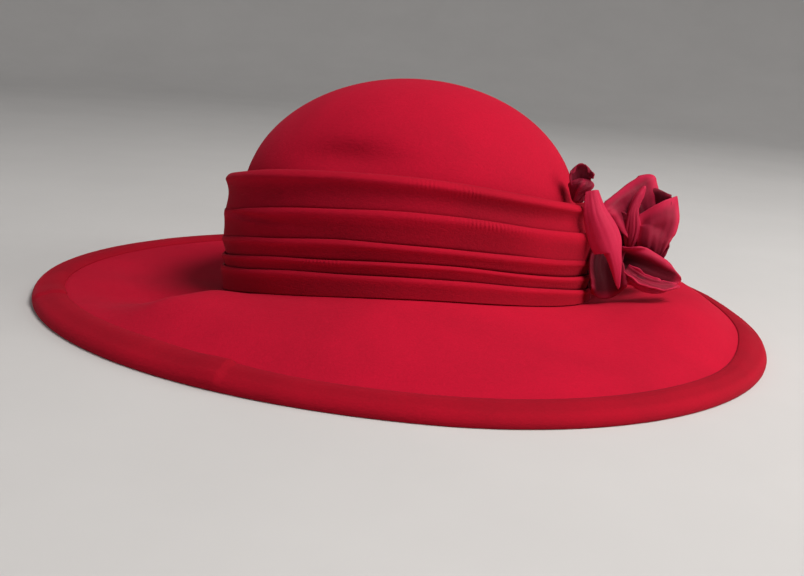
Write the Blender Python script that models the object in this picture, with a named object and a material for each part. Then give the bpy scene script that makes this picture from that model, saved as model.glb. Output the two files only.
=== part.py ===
"""A wide-brim wool-felt dress hat: round crown, draped pleated band, bound brim edge, fabric rose.

The hat rests on the edge of its brim on z = 0. +X points to its back, where the rose sits, -Y to
the side that dips, and +Z up. The origin is under the middle of the brim.
"""

import math

import bpy
import bmesh
import numpy as np

# Brim, measured to the outside of its binding
FRONT_REACH = 0.2355
BACK_REACH = 0.1905
HALF_WIDTH = 0.179
FELT = 0.0024
EDGE_HEIGHT = 0.0042
HEM_DROP = 0.0070

# Binding folded over the brim's edge
BINDING_WIDTH = 0.0165
BINDING_WALL = 0.0012
BINDING_GAP = 0.0008
REST_STRIP = 0.0025

# Crown, leaning in its own frame, whose base plane is tilted to the brim's edge
CROWN_HALF_LENGTH = 0.101
CROWN_HALF_WIDTH = 0.085
CROWN_HEIGHT = 0.1195
CROWN_SPRING = 0.046
CROWN_TAPER = 0.028
CROWN_X = 0.0035
DOME_POWER = 2.0
JUNCTION_HEIGHT = 0.0154
JUNCTION_BACK_RISE = 0.0050
JUNCTION_NEAR_RISE = 0.0098
JUNCTION_SADDLE = 0.0059
JUNCTION_FILLET = 0.004

# Draped band
BAND_HEIGHT = 0.0595
BAND_FRONT_GAIN = 0.0055
BAND_THICKNESS = 0.0092
LIP_THICKNESS = 0.0011

# Rose, whose calyx seats on the back of the band
ROSE_SIZE = 0.034
PETAL_WALL = 0.0012
CALYX_AZIMUTH = math.radians(-6.5)
CALYX_LEVEL = 0.026
CALYX_DEPTH = 0.0145
CALYX_WIDTH = 0.012
CALYX_RISE = 0.010

# Twisted neck of cloth, which stands on the band's upper lip
NECK_AZIMUTH = math.radians(-25)
NECK_LENGTH = 0.0100
NECK_WIDTH = 0.0042
NECK_TWIST = math.radians(110)
NECK_LEAN = 0.12
NECK_LOBES = 0.13
NECK_WAIST = 0.28

GAP = 0.0003
SEGMENTS = 54
CROWN_ROWS = 4
DOME_ROWS = 7
BAND_BACK_ROWS = 5

# The brim round the hat: share of the junction's height kept at the middle of the brim, and share
# of HEM_DROP by which the hem's inner line stands over the edge
BRIM_COLUMNS = ("azimuth", "middle", "hem")
BRIM_SECTIONS = (
    (-180, 0.95, 0.20),
    (-166, 0.98, 0.35),
    (-150, 1.05, 0.65),
    (-125, 0.76, 0.90),
    (-90, 0.68, 0.95),
    (-45, 0.82, 1.00),
    (-15, 1.45, 1.00),
    (5, 1.80, 1.05),
    (25, 2.15, 1.30),
    (50, 1.65, 1.00),
    (90, 0.90, 0.40),
    (135, 1.05, 0.15),
)
MIDDLE_SHARE = 0.62
HEM_STEEPNESS = 1.8
BRIM_ROWS = 7

# The band's folds from its lower lip to its upper lip: level as a share of the band's height at the
# front and at the back of the hat, and reach as a share of its thickness
FOLD_COLUMNS = ("front", "back", "reach")
FOLDS = (
    (0.000, 0.000, 0.80),
    (0.060, 0.040, 1.00),
    (0.140, 0.085, 0.98),
    (0.195, 0.125, 0.70),
    (0.235, 0.180, 0.96),
    (0.275, 0.235, 0.94),
    (0.302, 0.272, 0.70),
    (0.350, 0.320, 0.98),
    (0.410, 0.385, 0.97),
    (0.450, 0.425, 0.72),
    (0.510, 0.490, 1.06),
    (0.600, 0.590, 1.12),
    (0.680, 0.690, 1.02),
    (0.715, 0.725, 0.74),
    (0.790, 0.800, 0.72),
    (0.870, 0.880, 0.98),
    (0.945, 0.950, 1.14),
    (1.000, 1.000, 0.80),
)

# The rose's petals. Each row is a section of a petal from its root to its tip: place as shares of
# ROSE_SIZE (out from the crown, near, up), half width as a share of ROSE_SIZE, and curl across in
# degrees. A root row's place is its direction from the calyx's middle
PETAL_COLUMNS = ("out", "near", "up", "half_width", "curl")
PETALS = {
    "rose_back_petal": {
        "cupped_towards": (0.50, -0.83, 0.10),
        "rows": (
            (-0.40, 0.42, 0.81, 0.08, 4),
            (-0.26, 0.26, 0.28, 0.32, 46),
            (-0.22, 0.24, 0.60, 0.47, 60),
            (0.10, -0.06, 1.02, 0.28, 40),
        ),
    },
    "rose_core": {
        "cupped_towards": (0.30, -0.95, 0.00),
        "rows": (
            (0.52, -0.12, 0.85, 0.07, 4),
            (0.22, -0.16, 0.26, 0.17, 100),
            (0.26, -0.20, 0.46, 0.21, 128),
            (0.34, -0.22, 0.66, 0.12, 90),
        ),
    },
    "rose_inner_petal": {
        "cupped_towards": (-0.55, 0.80, 0.25),
        "rows": (
            (0.62, -0.62, 0.48, 0.08, 6),
            (0.44, -0.44, 0.20, 0.30, 50),
            (0.52, -0.44, 0.56, 0.36, 60),
            (0.48, -0.32, 0.80, 0.18, 30),
        ),
    },
    "rose_cup_petal": {
        "cupped_towards": (-0.12, -0.98, 0.10),
        "rows": (
            (0.78, 0.58, -0.10, 0.08, 6),
            (0.38, 0.24, 0.00, 0.28, 40),
            (0.42, 0.18, 0.32, 0.43, 64),
            (0.41, 0.06, 0.66, 0.35, 62),
        ),
    },
    "rose_mouth_petal": {
        "cupped_towards": (0.00, 1.00, 0.10),
        "rows": (
            (-0.10, 0.97, -0.22, 0.08, 6),
            (0.08, 0.38, -0.38, 0.38, 80),
            (0.46, 0.42, -0.46, 0.33, 80),
            (0.80, 0.46, -0.46, 0.09, 60),
        ),
    },
    "rose_hollow_petal": {
        "cupped_towards": (0.15, 1.00, 0.15),
        "rows": (
            (-0.76, 0.62, -0.20, 0.08, 6),
            (-0.44, 0.46, -0.38, 0.26, 70),
            (-0.37, 0.52, -0.72, 0.34, 82),
            (-0.24, 0.62, -0.93, 0.26, 60),
        ),
    },
    "rose_far_petal": {
        "cupped_towards": (-0.40, 0.85, 0.35),
        "rows": (
            (0.28, -0.95, 0.12, 0.08, 6),
            (0.24, -0.82, 0.00, 0.32, 45),
            (0.30, -1.02, 0.30, 0.42, 55),
            (0.28, -1.10, 0.58, 0.22, 30),
        ),
    },
    "rose_low_far_petal": {
        "cupped_towards": (0.20, 0.35, 0.90),
        "rows": (
            (-0.25, -0.92, -0.30, 0.08, 6),
            (-0.10, -0.92, -0.44, 0.28, 35),
            (0.00, -1.22, -0.50, 0.34, 45),
            (0.04, -1.46, -0.38, 0.16, 30),
        ),
    },
}
# Two sheets on the neck, whose places are from the middle of its top. The drooping petal's root row
# gives its direction from the neck's axis
DROOPING_PETAL = {
    "cupped_towards": (-0.15, -1.00, 0.00),
    "rows": (
        (0.08, 0.185, -0.06, 0.08, 6),
        (0.35, 0.30, -0.40, 0.27, 55),
        (0.59, 0.33, -0.90, 0.26, 60),
        (0.75, 0.24, -1.56, 0.07, 30),
    ),
}
BUD = {
    "cupped_towards": (0.10, 1.00, 0.10),
    "rows": (
        (-0.03, 0.00, 0.00, 0.06, 6),
        (-0.05, -0.02, 0.10, 0.16, 60),
        (-0.02, -0.04, 0.22, 0.19, 70),
        (0.02, 0.02, 0.33, 0.12, 50),
    ),
}
CALYX_IN_ROSE = np.array([-0.147, 0.147, -0.235]) * ROSE_SIZE
PETAL_STEPS_ALONG = 8
PETAL_STEPS_ACROSS = 6
TIP_START = 0.72
TIP_NARROWING = 0.6

AROUND = np.linspace(-math.pi, math.pi, SEGMENTS, endpoint=False)
WIDEST_X = (FRONT_REACH - BACK_REACH) / 2


def clear_scene():
    for item in list(bpy.data.objects):
        bpy.data.objects.remove(item, do_unlink=True)


def material(name, color, roughness):
    made = bpy.data.materials.new(name)
    made.use_nodes = True
    shader = made.node_tree.nodes["Principled BSDF"]
    shader.inputs["Base Color"].default_value = (*color, 1)
    shader.inputs["Roughness"].default_value = roughness
    shader.inputs["Metallic"].default_value = 0.0
    return made


def hermite(s, start, end, start_slope, end_slope):
    """A cubic from start to end as s runs from 0 to 1, leaving and arriving with the slopes."""
    return (start * (1 + 2 * s) * (1 - s) ** 2 + end * s**2 * (3 - 2 * s)
            + start_slope * s * (1 - s) ** 2 - end_slope * s**2 * (1 - s))


def smooth_through(places, values, at):
    """A cubic curve through a short table's points, with the slope of each point's neighbours."""
    places = np.asarray(places, float)
    values = np.asarray(values, float)
    slopes = np.gradient(values, places)
    which = np.clip(np.searchsorted(places, at) - 1, 0, len(places) - 2)
    span = places[which + 1] - places[which]
    return hermite((at - places[which]) / span, values[which], values[which + 1],
                   slopes[which] * span, slopes[which + 1] * span)


def round_the_hat(table, item):
    """One item of a table's rows by azimuth, as a closed smooth curve read at AROUND."""
    azimuths = np.radians([row[0] for row in table])
    values = [row[item] for row in table]
    turns = np.concatenate([azimuths - 2 * math.pi, azimuths, azimuths + 2 * math.pi])
    return smooth_through(turns, values * 3, AROUND)


def places_of(*parts):
    return np.stack(np.broadcast_arrays(*parts), axis=-1)


def unit(vectors):
    return vectors / np.linalg.norm(vectors, axis=-1, keepdims=True)


# The crown's frame: its base plane rises towards the back and towards the near side
CROWN_ORIGIN = np.array([CROWN_X, 0.0, JUNCTION_HEIGHT])
CROWN_UP = unit(np.array([
    -JUNCTION_BACK_RISE / CROWN_HALF_LENGTH, JUNCTION_NEAR_RISE / CROWN_HALF_WIDTH, 1.0,
]))
CROWN_BACK = unit(np.array([1.0, 0.0, JUNCTION_BACK_RISE / CROWN_HALF_LENGTH]))
CROWN_FAR = np.cross(CROWN_UP, CROWN_BACK)


def in_crown(back, far, up):
    """Places given in the crown's frame, in the hat's frame."""
    places = np.stack(np.broadcast_arrays(back, far, up), axis=-1)
    return CROWN_ORIGIN + places @ np.array([CROWN_BACK, CROWN_FAR, CROWN_UP])


def junction_level(angle):
    """Level of the crown's foot in the crown's frame: higher at the sides than front and back."""
    return -JUNCTION_SADDLE * np.cos(2 * angle)


def crown_share(level):
    """Half length and half width at a level as a share of the foot's: a slight taper, then a dome."""
    side = 1 - CROWN_TAPER * np.minimum(level / CROWN_SPRING, 1)
    rise = np.clip((level - CROWN_SPRING) / (CROWN_HEIGHT - CROWN_SPRING), 0, 1)
    return side * (1 - rise**DOME_POWER) ** (1 / DOME_POWER)


def crown_wall(angle, level, reach=0.0):
    """The crown's outer side at a level, moved out by reach along its plan's normal."""
    share = crown_share(level)
    normal = unit(places_of(np.cos(angle) / CROWN_HALF_LENGTH, np.sin(angle) / CROWN_HALF_WIDTH))
    back = CROWN_HALF_LENGTH * share * np.cos(angle) + reach * normal[..., 0]
    far = CROWN_HALF_WIDTH * share * np.sin(angle) + reach * normal[..., 1]
    return in_crown(back, far, level)


def edge_outline(angle, inset):
    """The brim's outline in plan, an egg with its blunt end at the back, moved in by inset."""
    reach = np.where(np.cos(angle) < 0, FRONT_REACH, BACK_REACH) - inset
    return places_of(WIDEST_X + reach * np.cos(angle), (HALF_WIDTH - inset) * np.sin(angle))


def brim_frame():
    """The brim's foot at the crown, its felt edge, its hem line and the way out, round the hat."""
    foot = crown_wall(AROUND, junction_level(AROUND))
    edge = edge_outline(AROUND, BINDING_GAP + BINDING_WALL)
    edge = places_of(edge[:, 0], edge[:, 1], EDGE_HEIGHT)
    out = unit((edge - foot)[:, :2])
    drop = HEM_DROP * round_the_hat(BRIM_SECTIONS, BRIM_COLUMNS.index("hem"))
    width = np.sqrt(BINDING_WIDTH**2 - drop**2)
    hem = edge - places_of(out[:, 0] * width, out[:, 1] * width, -drop)
    return foot, edge, hem, places_of(out[:, 0], out[:, 1], 0.0)


FOOT, EDGE, HEM, OUT = brim_frame()


def brim_top(share):
    """The brim's upper surface between its foot, share 0, and its hem line, share 1."""
    plan = FOOT + (HEM - FOOT) * share[:, None]
    foot, hem = FOOT[:, 2], HEM[:, 2]
    middle = foot * round_the_hat(BRIM_SECTIONS, BRIM_COLUMNS.index("middle"))
    inner = hermite(share / MIDDLE_SHARE, foot, middle, middle - foot, (hem - foot) * MIDDLE_SHARE)
    outer = hermite((share - MIDDLE_SHARE) / (1 - MIDDLE_SHARE), middle, hem,
                    (hem - foot) * (1 - MIDDLE_SHARE), (hem - middle) * HEM_STEEPNESS)
    return places_of(plan[:, 0], plan[:, 1], np.where(share < MIDDLE_SHARE, inner, outer))


def brim_shares():
    """Shares of the brim's rings from the hem in: the last two lie outside and at the fillet."""
    width = np.linalg.norm((HEM - FOOT)[:, :2], axis=1)
    fillet, lip = JUNCTION_FILLET / width, 2 * BAND_THICKNESS / width
    steps = np.linspace(0, 1, BRIM_ROWS - 1)
    return [1 - (1 - lip) * step for step in steps] + [fillet]


def add_object(name, points, faces, finish, closed=False, parent=None):
    """An object of these points, whose open sheets take their wall from a modifier later."""
    made = bmesh.new()
    corners = [made.verts.new(point) for point in points]
    for face in faces:
        made.faces.new([corners[index] for index in face])
    if closed:
        bmesh.ops.recalc_face_normals(made, faces=made.faces)
    data = bpy.data.meshes.new(name)
    made.to_mesh(data)
    made.free()
    data.materials.append(finish)
    data.shade_smooth()
    data.set_sharp_from_angle(angle=math.radians(50))
    thing = bpy.data.objects.new(name, data)
    thing.parent = parent
    bpy.context.scene.collection.objects.link(thing)
    return thing


def grid_faces(rows, columns, close_rows=False, close_columns=False):
    """Quads over a grid of points, row by row, joined end to end where asked."""
    faces = []
    for row in range(rows if close_rows else rows - 1):
        for place in range(columns if close_columns else columns - 1):
            below, beside = (row + 1) % rows, (place + 1) % columns
            faces.append((row * columns + place, row * columns + beside,
                          below * columns + beside, below * columns + place))
    return faces


def give_wall(thing, thickness, offset, even):
    wall = thing.modifiers.new("Wall", "SOLIDIFY")
    wall.thickness = thickness
    wall.offset = offset
    wall.use_even_offset = even


def felt_rings():
    """Rings of the felt's outer side from the brim's edge, up the crown, to below its apex."""
    rings = [EDGE] + [brim_top(share) for share in brim_shares()]
    level = junction_level(AROUND)
    start, end = rings[-1], crown_wall(AROUND, level + JUNCTION_FILLET)
    corner = crown_wall(AROUND, level)
    for share in (1 / 3, 2 / 3):
        bend = share * math.pi / 2
        rings.append(corner + (start - corner) * (1 - math.sin(bend))
                     + (end - corner) * (1 - math.cos(bend)))
    for step in range(CROWN_ROWS):
        share = step / CROWN_ROWS
        foot = level + JUNCTION_FILLET
        rings.append(crown_wall(AROUND, foot + (CROWN_SPRING - foot) * share))
    for step in range(DOME_ROWS):
        share = math.sin(math.pi / 2 * step / DOME_ROWS)
        rings.append(crown_wall(AROUND, CROWN_SPRING + (CROWN_HEIGHT - CROWN_SPRING) * share))
    return rings


def make_felt_body(finish):
    rings = felt_rings()
    points = np.concatenate([*rings, [crown_wall(0.0, CROWN_HEIGHT)]])
    faces = grid_faces(len(rings), SEGMENTS, close_columns=True)
    last, apex = (len(rings) - 1) * SEGMENTS, len(points) - 1
    for place in range(SEGMENTS):
        faces.append((last + place, last + (place + 1) % SEGMENTS, apex))
    body = add_object("felt_body", points, faces, finish)
    give_wall(body, FELT, -1, even=True)


def make_ring(name, sections, finish):
    """A closed ring from sections, each an array of points round the hat."""
    points = np.concatenate(sections)
    add_object(name, points, grid_faces(len(sections), SEGMENTS, True, True), finish, closed=True)


def make_edge_binding(finish):
    """A strip folded over the felt's edge: an outer skin, a cavity, and a flat strip underneath."""
    run = unit(EDGE - HEM)
    rise = unit(places_of(-run[:, 2] * OUT[:, 0], -run[:, 2] * OUT[:, 1],
                       np.linalg.norm(run[:, :2], axis=1)))
    skin, cavity = BINDING_GAP + BINDING_WALL, BINDING_GAP
    inner, outer = 2 * BINDING_GAP, BINDING_WIDTH

    def place(along, above):
        return HEM + run * along + rise * above

    def outline(inset, height):
        plan = edge_outline(AROUND, inset)
        return places_of(plan[:, 0], plan[:, 1], height)

    make_ring("edge_binding", [
        place(inner, skin),
        place(outer - BINDING_WALL, skin),
        place(outer + 0.6 * skin, 0.4 * skin),
        outline(0, 0.45 * EDGE_HEIGHT),
        outline(0.5 * BINDING_WALL, 0),
        outline(0.5 * BINDING_WALL + REST_STRIP, 0),
        place(inner, -FELT - skin),
        place(inner, -FELT - cavity),
        place(outer + cavity, -FELT - cavity),
        place(outer + cavity, cavity),
        place(inner, cavity),
    ], finish)


def band_height(angle):
    return BAND_HEIGHT - BAND_FRONT_GAIN * np.cos(angle)


def band_foot(reach):
    """The band's lower lip, a little over the brim at this reach from the crown."""
    outside, at_fillet = brim_shares()[-2:]
    share = (reach - JUNCTION_FILLET) / (2 * BAND_THICKNESS - JUNCTION_FILLET)
    top = brim_top(at_fillet) + (brim_top(outside) - brim_top(at_fillet)) * share
    return top + CROWN_UP * 2 * GAP


def band_rows():
    """The band's folds as (level in the crown's frame, reach from the crown's side) pairs."""
    foot = band_foot(BAND_THICKNESS * FOLDS[0][FOLD_COLUMNS.index("reach")])
    lip = (foot - CROWN_ORIGIN) @ CROWN_UP
    to_back = (1 + np.cos(AROUND)) / 2
    for front, back, reach in FOLDS:
        share = front + (back - front) * to_back
        yield lip + band_height(AROUND) * share, BAND_THICKNESS * reach


def make_draped_band(finish):
    """Five soft folds round the crown, closed behind by rows that crowd where the dome starts."""
    rows = list(band_rows())
    sections = [band_foot(rows[0][1])]
    sections += [crown_wall(AROUND, level, GAP + reach) for level, reach in rows[1:]]
    foot = junction_level(AROUND) + JUNCTION_FILLET + GAP
    top = rows[-1][0] - LIP_THICKNESS
    for step in range(BAND_BACK_ROWS):
        share = math.cos(math.pi / 2 * step / (BAND_BACK_ROWS - 1))
        sections.append(crown_wall(AROUND, foot + (top - foot) * share, GAP))
    make_ring("draped_band", sections, finish)


def sheet_points(rows, cupped_towards):
    """A curved sheet: sections spread along a smooth spine, each one an arc across it.

    A section of half width w and half angle c at across in -1..1 lies w sin(c across) / c to the
    side of the spine and w (1 - cos(c across)) / c towards the side that the sheet is cupped to.
    """
    along = np.linspace(0, 1, PETAL_STEPS_ALONG + 1)
    across = np.linspace(-1, 1, PETAL_STEPS_ACROSS + 1)[None, :, None]
    places = np.linspace(0, 1, len(rows))
    read = np.stack([smooth_through(places, rows[:, item], along) for item in range(5)], axis=1)
    spine, half_width, curl = read[:, :3], read[:, 3], np.radians(read[:, 4])
    tip = np.clip((along - TIP_START) / (1 - TIP_START), 0, 1)
    half_width = (half_width * (1 - TIP_NARROWING * tip**2))[:, None, None]
    curl = curl[:, None, None]
    tangent = unit(np.gradient(spine, axis=0))
    side = unit(np.cross(tangent, cupped_towards))
    inward = np.cross(side, tangent)
    return (spine[:, None] + side[:, None] * half_width * np.sin(curl * across) / curl
            + inward[:, None] * half_width * (1 - np.cos(curl * across)) / curl)


def add_sheet(name, rows, cupped_towards, finish, parent):
    points = sheet_points(rows, cupped_towards).reshape(-1, 3)
    faces = grid_faces(PETAL_STEPS_ALONG + 1, PETAL_STEPS_ACROSS + 1)
    sheet = add_object(name, points, faces, finish, parent=parent)
    give_wall(sheet, PETAL_WALL, 0, even=False)


def from_table(rows):
    """A petal's table in metres, in the hat's directions: the near side is -Y."""
    return np.array([(out * ROSE_SIZE, -near * ROSE_SIZE, up * ROSE_SIZE, wide * ROSE_SIZE, curl)
                     for out, near, up, wide, curl in rows])


def hat_direction(shares):
    out, near, up = shares
    return unit(np.array([out, -near, up]))


def add_frame(name, place):
    frame = bpy.data.objects.new(name, None)
    frame.location = place
    bpy.context.scene.collection.objects.link(frame)
    return frame


def make_calyx(finish, frame):
    """A flattened ball of gathered cloth, which carries the petals' roots."""
    made = bmesh.new()
    bmesh.ops.create_uvsphere(made, u_segments=12, v_segments=8, radius=1)
    bmesh.ops.scale(made, verts=made.verts, vec=(CALYX_DEPTH, CALYX_WIDTH, CALYX_RISE))
    points = [tuple(corner.co) for corner in made.verts]
    faces = [[corner.index for corner in face.verts] for face in made.faces]
    made.free()
    add_object("rose_calyx", points, faces, finish, closed=True, parent=frame)


def make_petals(finish, frame):
    """Petals that leave the calyx's surface, each root a gap clear of it."""
    size = np.array([CALYX_DEPTH, CALYX_WIDTH, CALYX_RISE])
    for name, petal in PETALS.items():
        rows = from_table(petal["rows"])
        rows[:, :3] -= CALYX_IN_ROSE
        direction = hat_direction(petal["rows"][0][:3])
        surface = 1 / np.linalg.norm(direction / size)
        rows[0, :3] = direction * (surface + 3 * GAP + PETAL_WALL / 2)
        add_sheet(name, rows, hat_direction(petal["cupped_towards"]), finish, frame)


def make_neck(finish, frame):
    """A twisted bundle of cloth: a three-lobed section that turns as it rises."""
    sides, rows = 12, 6
    turn = np.linspace(0, 2 * math.pi, sides, endpoint=False)
    rings = []
    for share in np.linspace(0, 1, rows):
        radius = NECK_WIDTH * (1 + NECK_LOBES * np.cos(3 * (turn - NECK_TWIST * share)))
        radius = radius * (1 - NECK_WAIST * math.sin(math.pi * share))
        lean = NECK_LEAN * NECK_LENGTH * (share - 1)
        rings.append(places_of(lean + radius * np.cos(turn), radius * np.sin(turn),
                            NECK_LENGTH * (share - 1)))
    faces = grid_faces(rows, sides, close_columns=True)
    faces += [tuple(range(sides)), tuple(range((rows - 1) * sides, rows * sides))]
    add_object("rose_neck", np.concatenate(rings), faces, finish, closed=True, parent=frame)


def make_drooping_petal(finish, frame):
    """A petal that hangs beside the neck, its root a gap clear of where the neck starts to narrow."""
    rows = from_table(DROOPING_PETAL["rows"])
    clear = NECK_WIDTH * (1 - NECK_WAIST / 2) + GAP + PETAL_WALL / 2
    rows[0, :2] *= clear / np.linalg.norm(rows[0, :2])
    toward = hat_direction(DROOPING_PETAL["cupped_towards"])
    add_sheet("rose_drooping_petal", rows, toward, finish, frame)


def make_bud(finish, frame):
    """A small hood of cloth that stands on the neck, a gap over its top."""
    rows = from_table(BUD["rows"])
    rows[:, 2] += 3 * GAP
    add_sheet("rose_bud", rows, hat_direction(BUD["cupped_towards"]), finish, frame)


def calyx_place():
    fullest = max(row[FOLD_COLUMNS.index("reach")] for row in FOLDS)
    reach = BAND_THICKNESS * fullest + 2 * GAP + CALYX_DEPTH
    return crown_wall(np.array(CALYX_AZIMUTH), CALYX_LEVEL, reach)


def neck_top():
    lip_level, lip_reach = list(band_rows())[-1]
    level = np.interp(NECK_AZIMUTH, AROUND, lip_level)
    foot = crown_wall(np.array(NECK_AZIMUTH), level, 0.85 * lip_reach)
    return foot + np.array([NECK_LEAN * NECK_LENGTH, 0, NECK_LENGTH + 4 * GAP])


def main():
    clear_scene()
    felt = material("Red wool felt", (0.58, 0.010, 0.032), 0.9)
    binding = material("Red felt binding", (0.50, 0.009, 0.026), 0.9)
    drape = material("Red draped felt", (0.52, 0.010, 0.032), 0.85)
    satin = material("Dark rose satin", (0.36, 0.012, 0.050), 0.5)
    make_felt_body(felt)
    make_edge_binding(binding)
    make_draped_band(drape)
    rose = add_frame("rose_frame", calyx_place())
    make_calyx(satin, rose)
    make_petals(satin, rose)
    neck = add_frame("neck_frame", neck_top())
    make_neck(satin, neck)
    make_drooping_petal(satin, neck)
    make_bud(satin, neck)


main()
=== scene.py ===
"""A wide-brim wool-felt dress hat with a round crown, a draped band and a fabric rose.

The file is laid out as a Blender add-on and is run as a script. Lengths are in metres. The hat rests
on the edge of its brim on z = 0, +X points to its back, where the rose sits, and -Y is the near side.
"""

import math

import bpy
import numpy as np
from bpy.props import FloatProperty, FloatVectorProperty, PointerProperty
from mathutils import Matrix, Vector


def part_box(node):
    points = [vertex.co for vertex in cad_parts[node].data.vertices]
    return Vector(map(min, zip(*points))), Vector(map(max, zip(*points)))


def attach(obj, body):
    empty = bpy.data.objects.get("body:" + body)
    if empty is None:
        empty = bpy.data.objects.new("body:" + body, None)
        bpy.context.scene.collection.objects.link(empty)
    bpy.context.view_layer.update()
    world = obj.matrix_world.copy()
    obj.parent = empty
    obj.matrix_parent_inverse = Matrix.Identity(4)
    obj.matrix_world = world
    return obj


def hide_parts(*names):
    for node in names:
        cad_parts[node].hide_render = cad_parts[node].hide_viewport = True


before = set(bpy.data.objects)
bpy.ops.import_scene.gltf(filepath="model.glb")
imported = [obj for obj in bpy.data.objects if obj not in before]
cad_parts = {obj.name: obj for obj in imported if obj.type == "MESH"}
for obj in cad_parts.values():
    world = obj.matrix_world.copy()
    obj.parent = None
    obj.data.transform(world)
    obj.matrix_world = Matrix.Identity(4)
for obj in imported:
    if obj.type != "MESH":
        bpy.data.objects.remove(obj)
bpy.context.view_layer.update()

bl_info = {
    "name": "Felt Dress Hat",
    "version": (1, 0, 0),
    "blender": (4, 5, 0),
    "location": "3D View > Sidebar > Hat",
    "description": "Builds a felt dress hat with a draped band and a fabric rose round its frame",
    "category": "Add Mesh",
}

EDGE_LOW, EDGE_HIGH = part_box("edge_binding")
CALYX_LOW, CALYX_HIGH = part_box("rose_calyx")
NECK_LOW, NECK_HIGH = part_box("rose_neck")

# The frame's rings have 54 sides, so their flats lie inside the true outline
FRAME_SIDES = 54
HALF_WIDTH = EDGE_HIGH.y / math.cos(math.pi / FRAME_SIDES)

# The crown's frame, whose base plane is tilted to the brim's edge, and its junction with the brim
CROWN_X = 0.0035
CROWN_SPRING = 0.046
CROWN_TAPER = 0.028
JUNCTION_HEIGHT = 0.0154
JUNCTION_BACK_RISE = 0.0050
JUNCTION_NEAR_RISE = 0.0098
JUNCTION_SADDLE = 0.0059
JUNCTION_FILLET = 0.004
EDGE_HEIGHT = 0.0042
HEM_DROP = 0.0070
BINDING_GAP = 0.0008
# The flat that the hat rests on, from the brim's outline inwards
REST_START = 0.0018
BINDING_REST = 0.0031

# The brim round the hat: share of the junction's height kept at the middle of the brim, and share
# of HEM_DROP by which the hem's inner line stands over the edge
BRIM_COLUMNS = ("azimuth", "middle", "hem")
BRIM_SECTIONS = (
    (-180, 0.95, 0.20),
    (-166, 0.98, 0.35),
    (-150, 1.05, 0.65),
    (-125, 0.76, 0.90),
    (-90, 0.68, 0.95),
    (-45, 0.82, 1.00),
    (-15, 1.45, 1.00),
    (5, 1.80, 1.05),
    (25, 2.15, 1.30),
    (50, 1.65, 1.00),
    (90, 0.90, 0.40),
    (135, 1.05, 0.15),
)
MIDDLE_SHARE = 0.62
HEM_STEEPNESS = 1.8

# Soft dents in the crown: azimuth and its spread in degrees, level and its spread, and depth
DENTS = (
    (-109, 18, 0.0735, 0.0085, 0.0066),
    (-78, 26, 0.092, 0.012, 0.0006),
    (-28, 18, 0.078, 0.014, 0.0007),
    (70, 30, 0.080, 0.012, 0.0008),
    (165, 24, 0.070, 0.010, 0.0008),
)

# The band's pleats from the bottom: level of a pleat's upper edge as a share of the band's height at
# the front and at the back, reach of its foot and of its crest as shares of the band's depth, how
# far its plane is hollowed between them as such a share, and height of its rounded lip
PLEAT_COLUMNS = ("front_high", "back_high", "foot", "crest", "hollow", "lip")
PLEATS = (
    (0.203, 0.150, 0.86, 1.00, 0.02, 0.0020),
    (0.300, 0.285, 0.70, 0.98, 0.02, 0.0016),
    (0.455, 0.440, 0.70, 1.03, 0.03, 0.0024),
    (0.690, 0.725, 0.72, 1.11, 0.04, 0.0028),
    (1.000, 1.000, 0.74, 1.16, 0.26, 0.0036),
)
# The band stands higher on the near side, which a bell of azimuth gives: azimuth, spread, height
BAND_LIFT = (-125, 80, 0.0024)

# The rose's middle from the calyx's, as shares of the rose's size
ROSE_IN_CALYX = np.array((0.147, -0.147, 0.235))


def hermite(s, start, end, start_slope, end_slope):
    """A cubic from start to end as s runs from 0 to 1, leaving and arriving with the slopes."""
    return (start * (1 + 2 * s) * (1 - s) ** 2 + end * s**2 * (3 - 2 * s)
            + start_slope * s * (1 - s) ** 2 - end_slope * s**2 * (1 - s))


def through(places, values, at):
    """A cubic curve through a table's points, each passed with the slope of its neighbours."""
    places = np.asarray(places, float)
    values = np.asarray(values, float)
    slopes = np.gradient(values, places, axis=0)
    which = np.clip(np.searchsorted(places, at) - 1, 0, len(places) - 2)
    span = places[which + 1] - places[which]
    share = (at - places[which]) / span
    shape = share.shape + (1,) * (values.ndim - 1)
    span, share = span.reshape(shape), share.reshape(shape)
    return hermite(share, values[which], values[which + 1], slopes[which] * span,
                   slopes[which + 1] * span)


def round_table(table, item, angle):
    """One item of a table's rows by azimuth in degrees, as a closed smooth curve."""
    azimuths = np.radians([row[0] for row in table])
    values = np.array([row[item] for row in table])
    turns = np.concatenate([azimuths - 2 * math.pi, azimuths, azimuths + 2 * math.pi])
    return through(turns, np.tile(values, 3), angle)


def points_of(*parts):
    return np.stack(np.broadcast_arrays(*parts), axis=-1)


def unit(vectors):
    return vectors / np.linalg.norm(vectors, axis=-1, keepdims=True)


def bell(distance, spread):
    """exp of minus the square of distance over spread."""
    return np.exp(-((distance / spread) ** 2))


def ramp(value, start, end):
    """A smooth step from 0 at start to 1 at end."""
    share = np.clip((value - start) / (end - start), 0, 1)
    return share * share * (3 - 2 * share)


def turn_between(angle, azimuth):
    """Angle from an azimuth in degrees, the short way round, in degrees."""
    return (np.degrees(angle) - azimuth + 180) % 360 - 180


def bell_at(angle, azimuth, spread):
    """A bell of azimuth round the hat, given in degrees."""
    return bell(turn_between(angle, azimuth), spread)


def full_turn(count, start=0.0):
    """Even angles once round, from start."""
    return np.linspace(start, start + 2 * math.pi, count, endpoint=False)


def wander(angle, seed, waves=(2, 3, 5, 8, 13)):
    """A closed smooth wander in -1..1 round the hat: sines whose phases come from the seed."""
    phases = np.random.default_rng(seed).uniform(0, 2 * math.pi, len(waves))
    total = sum(np.sin(count * angle + phase) / count**0.6 for count, phase in zip(waves, phases))
    return total / sum(1 / count**0.6 for count in waves)


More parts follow.
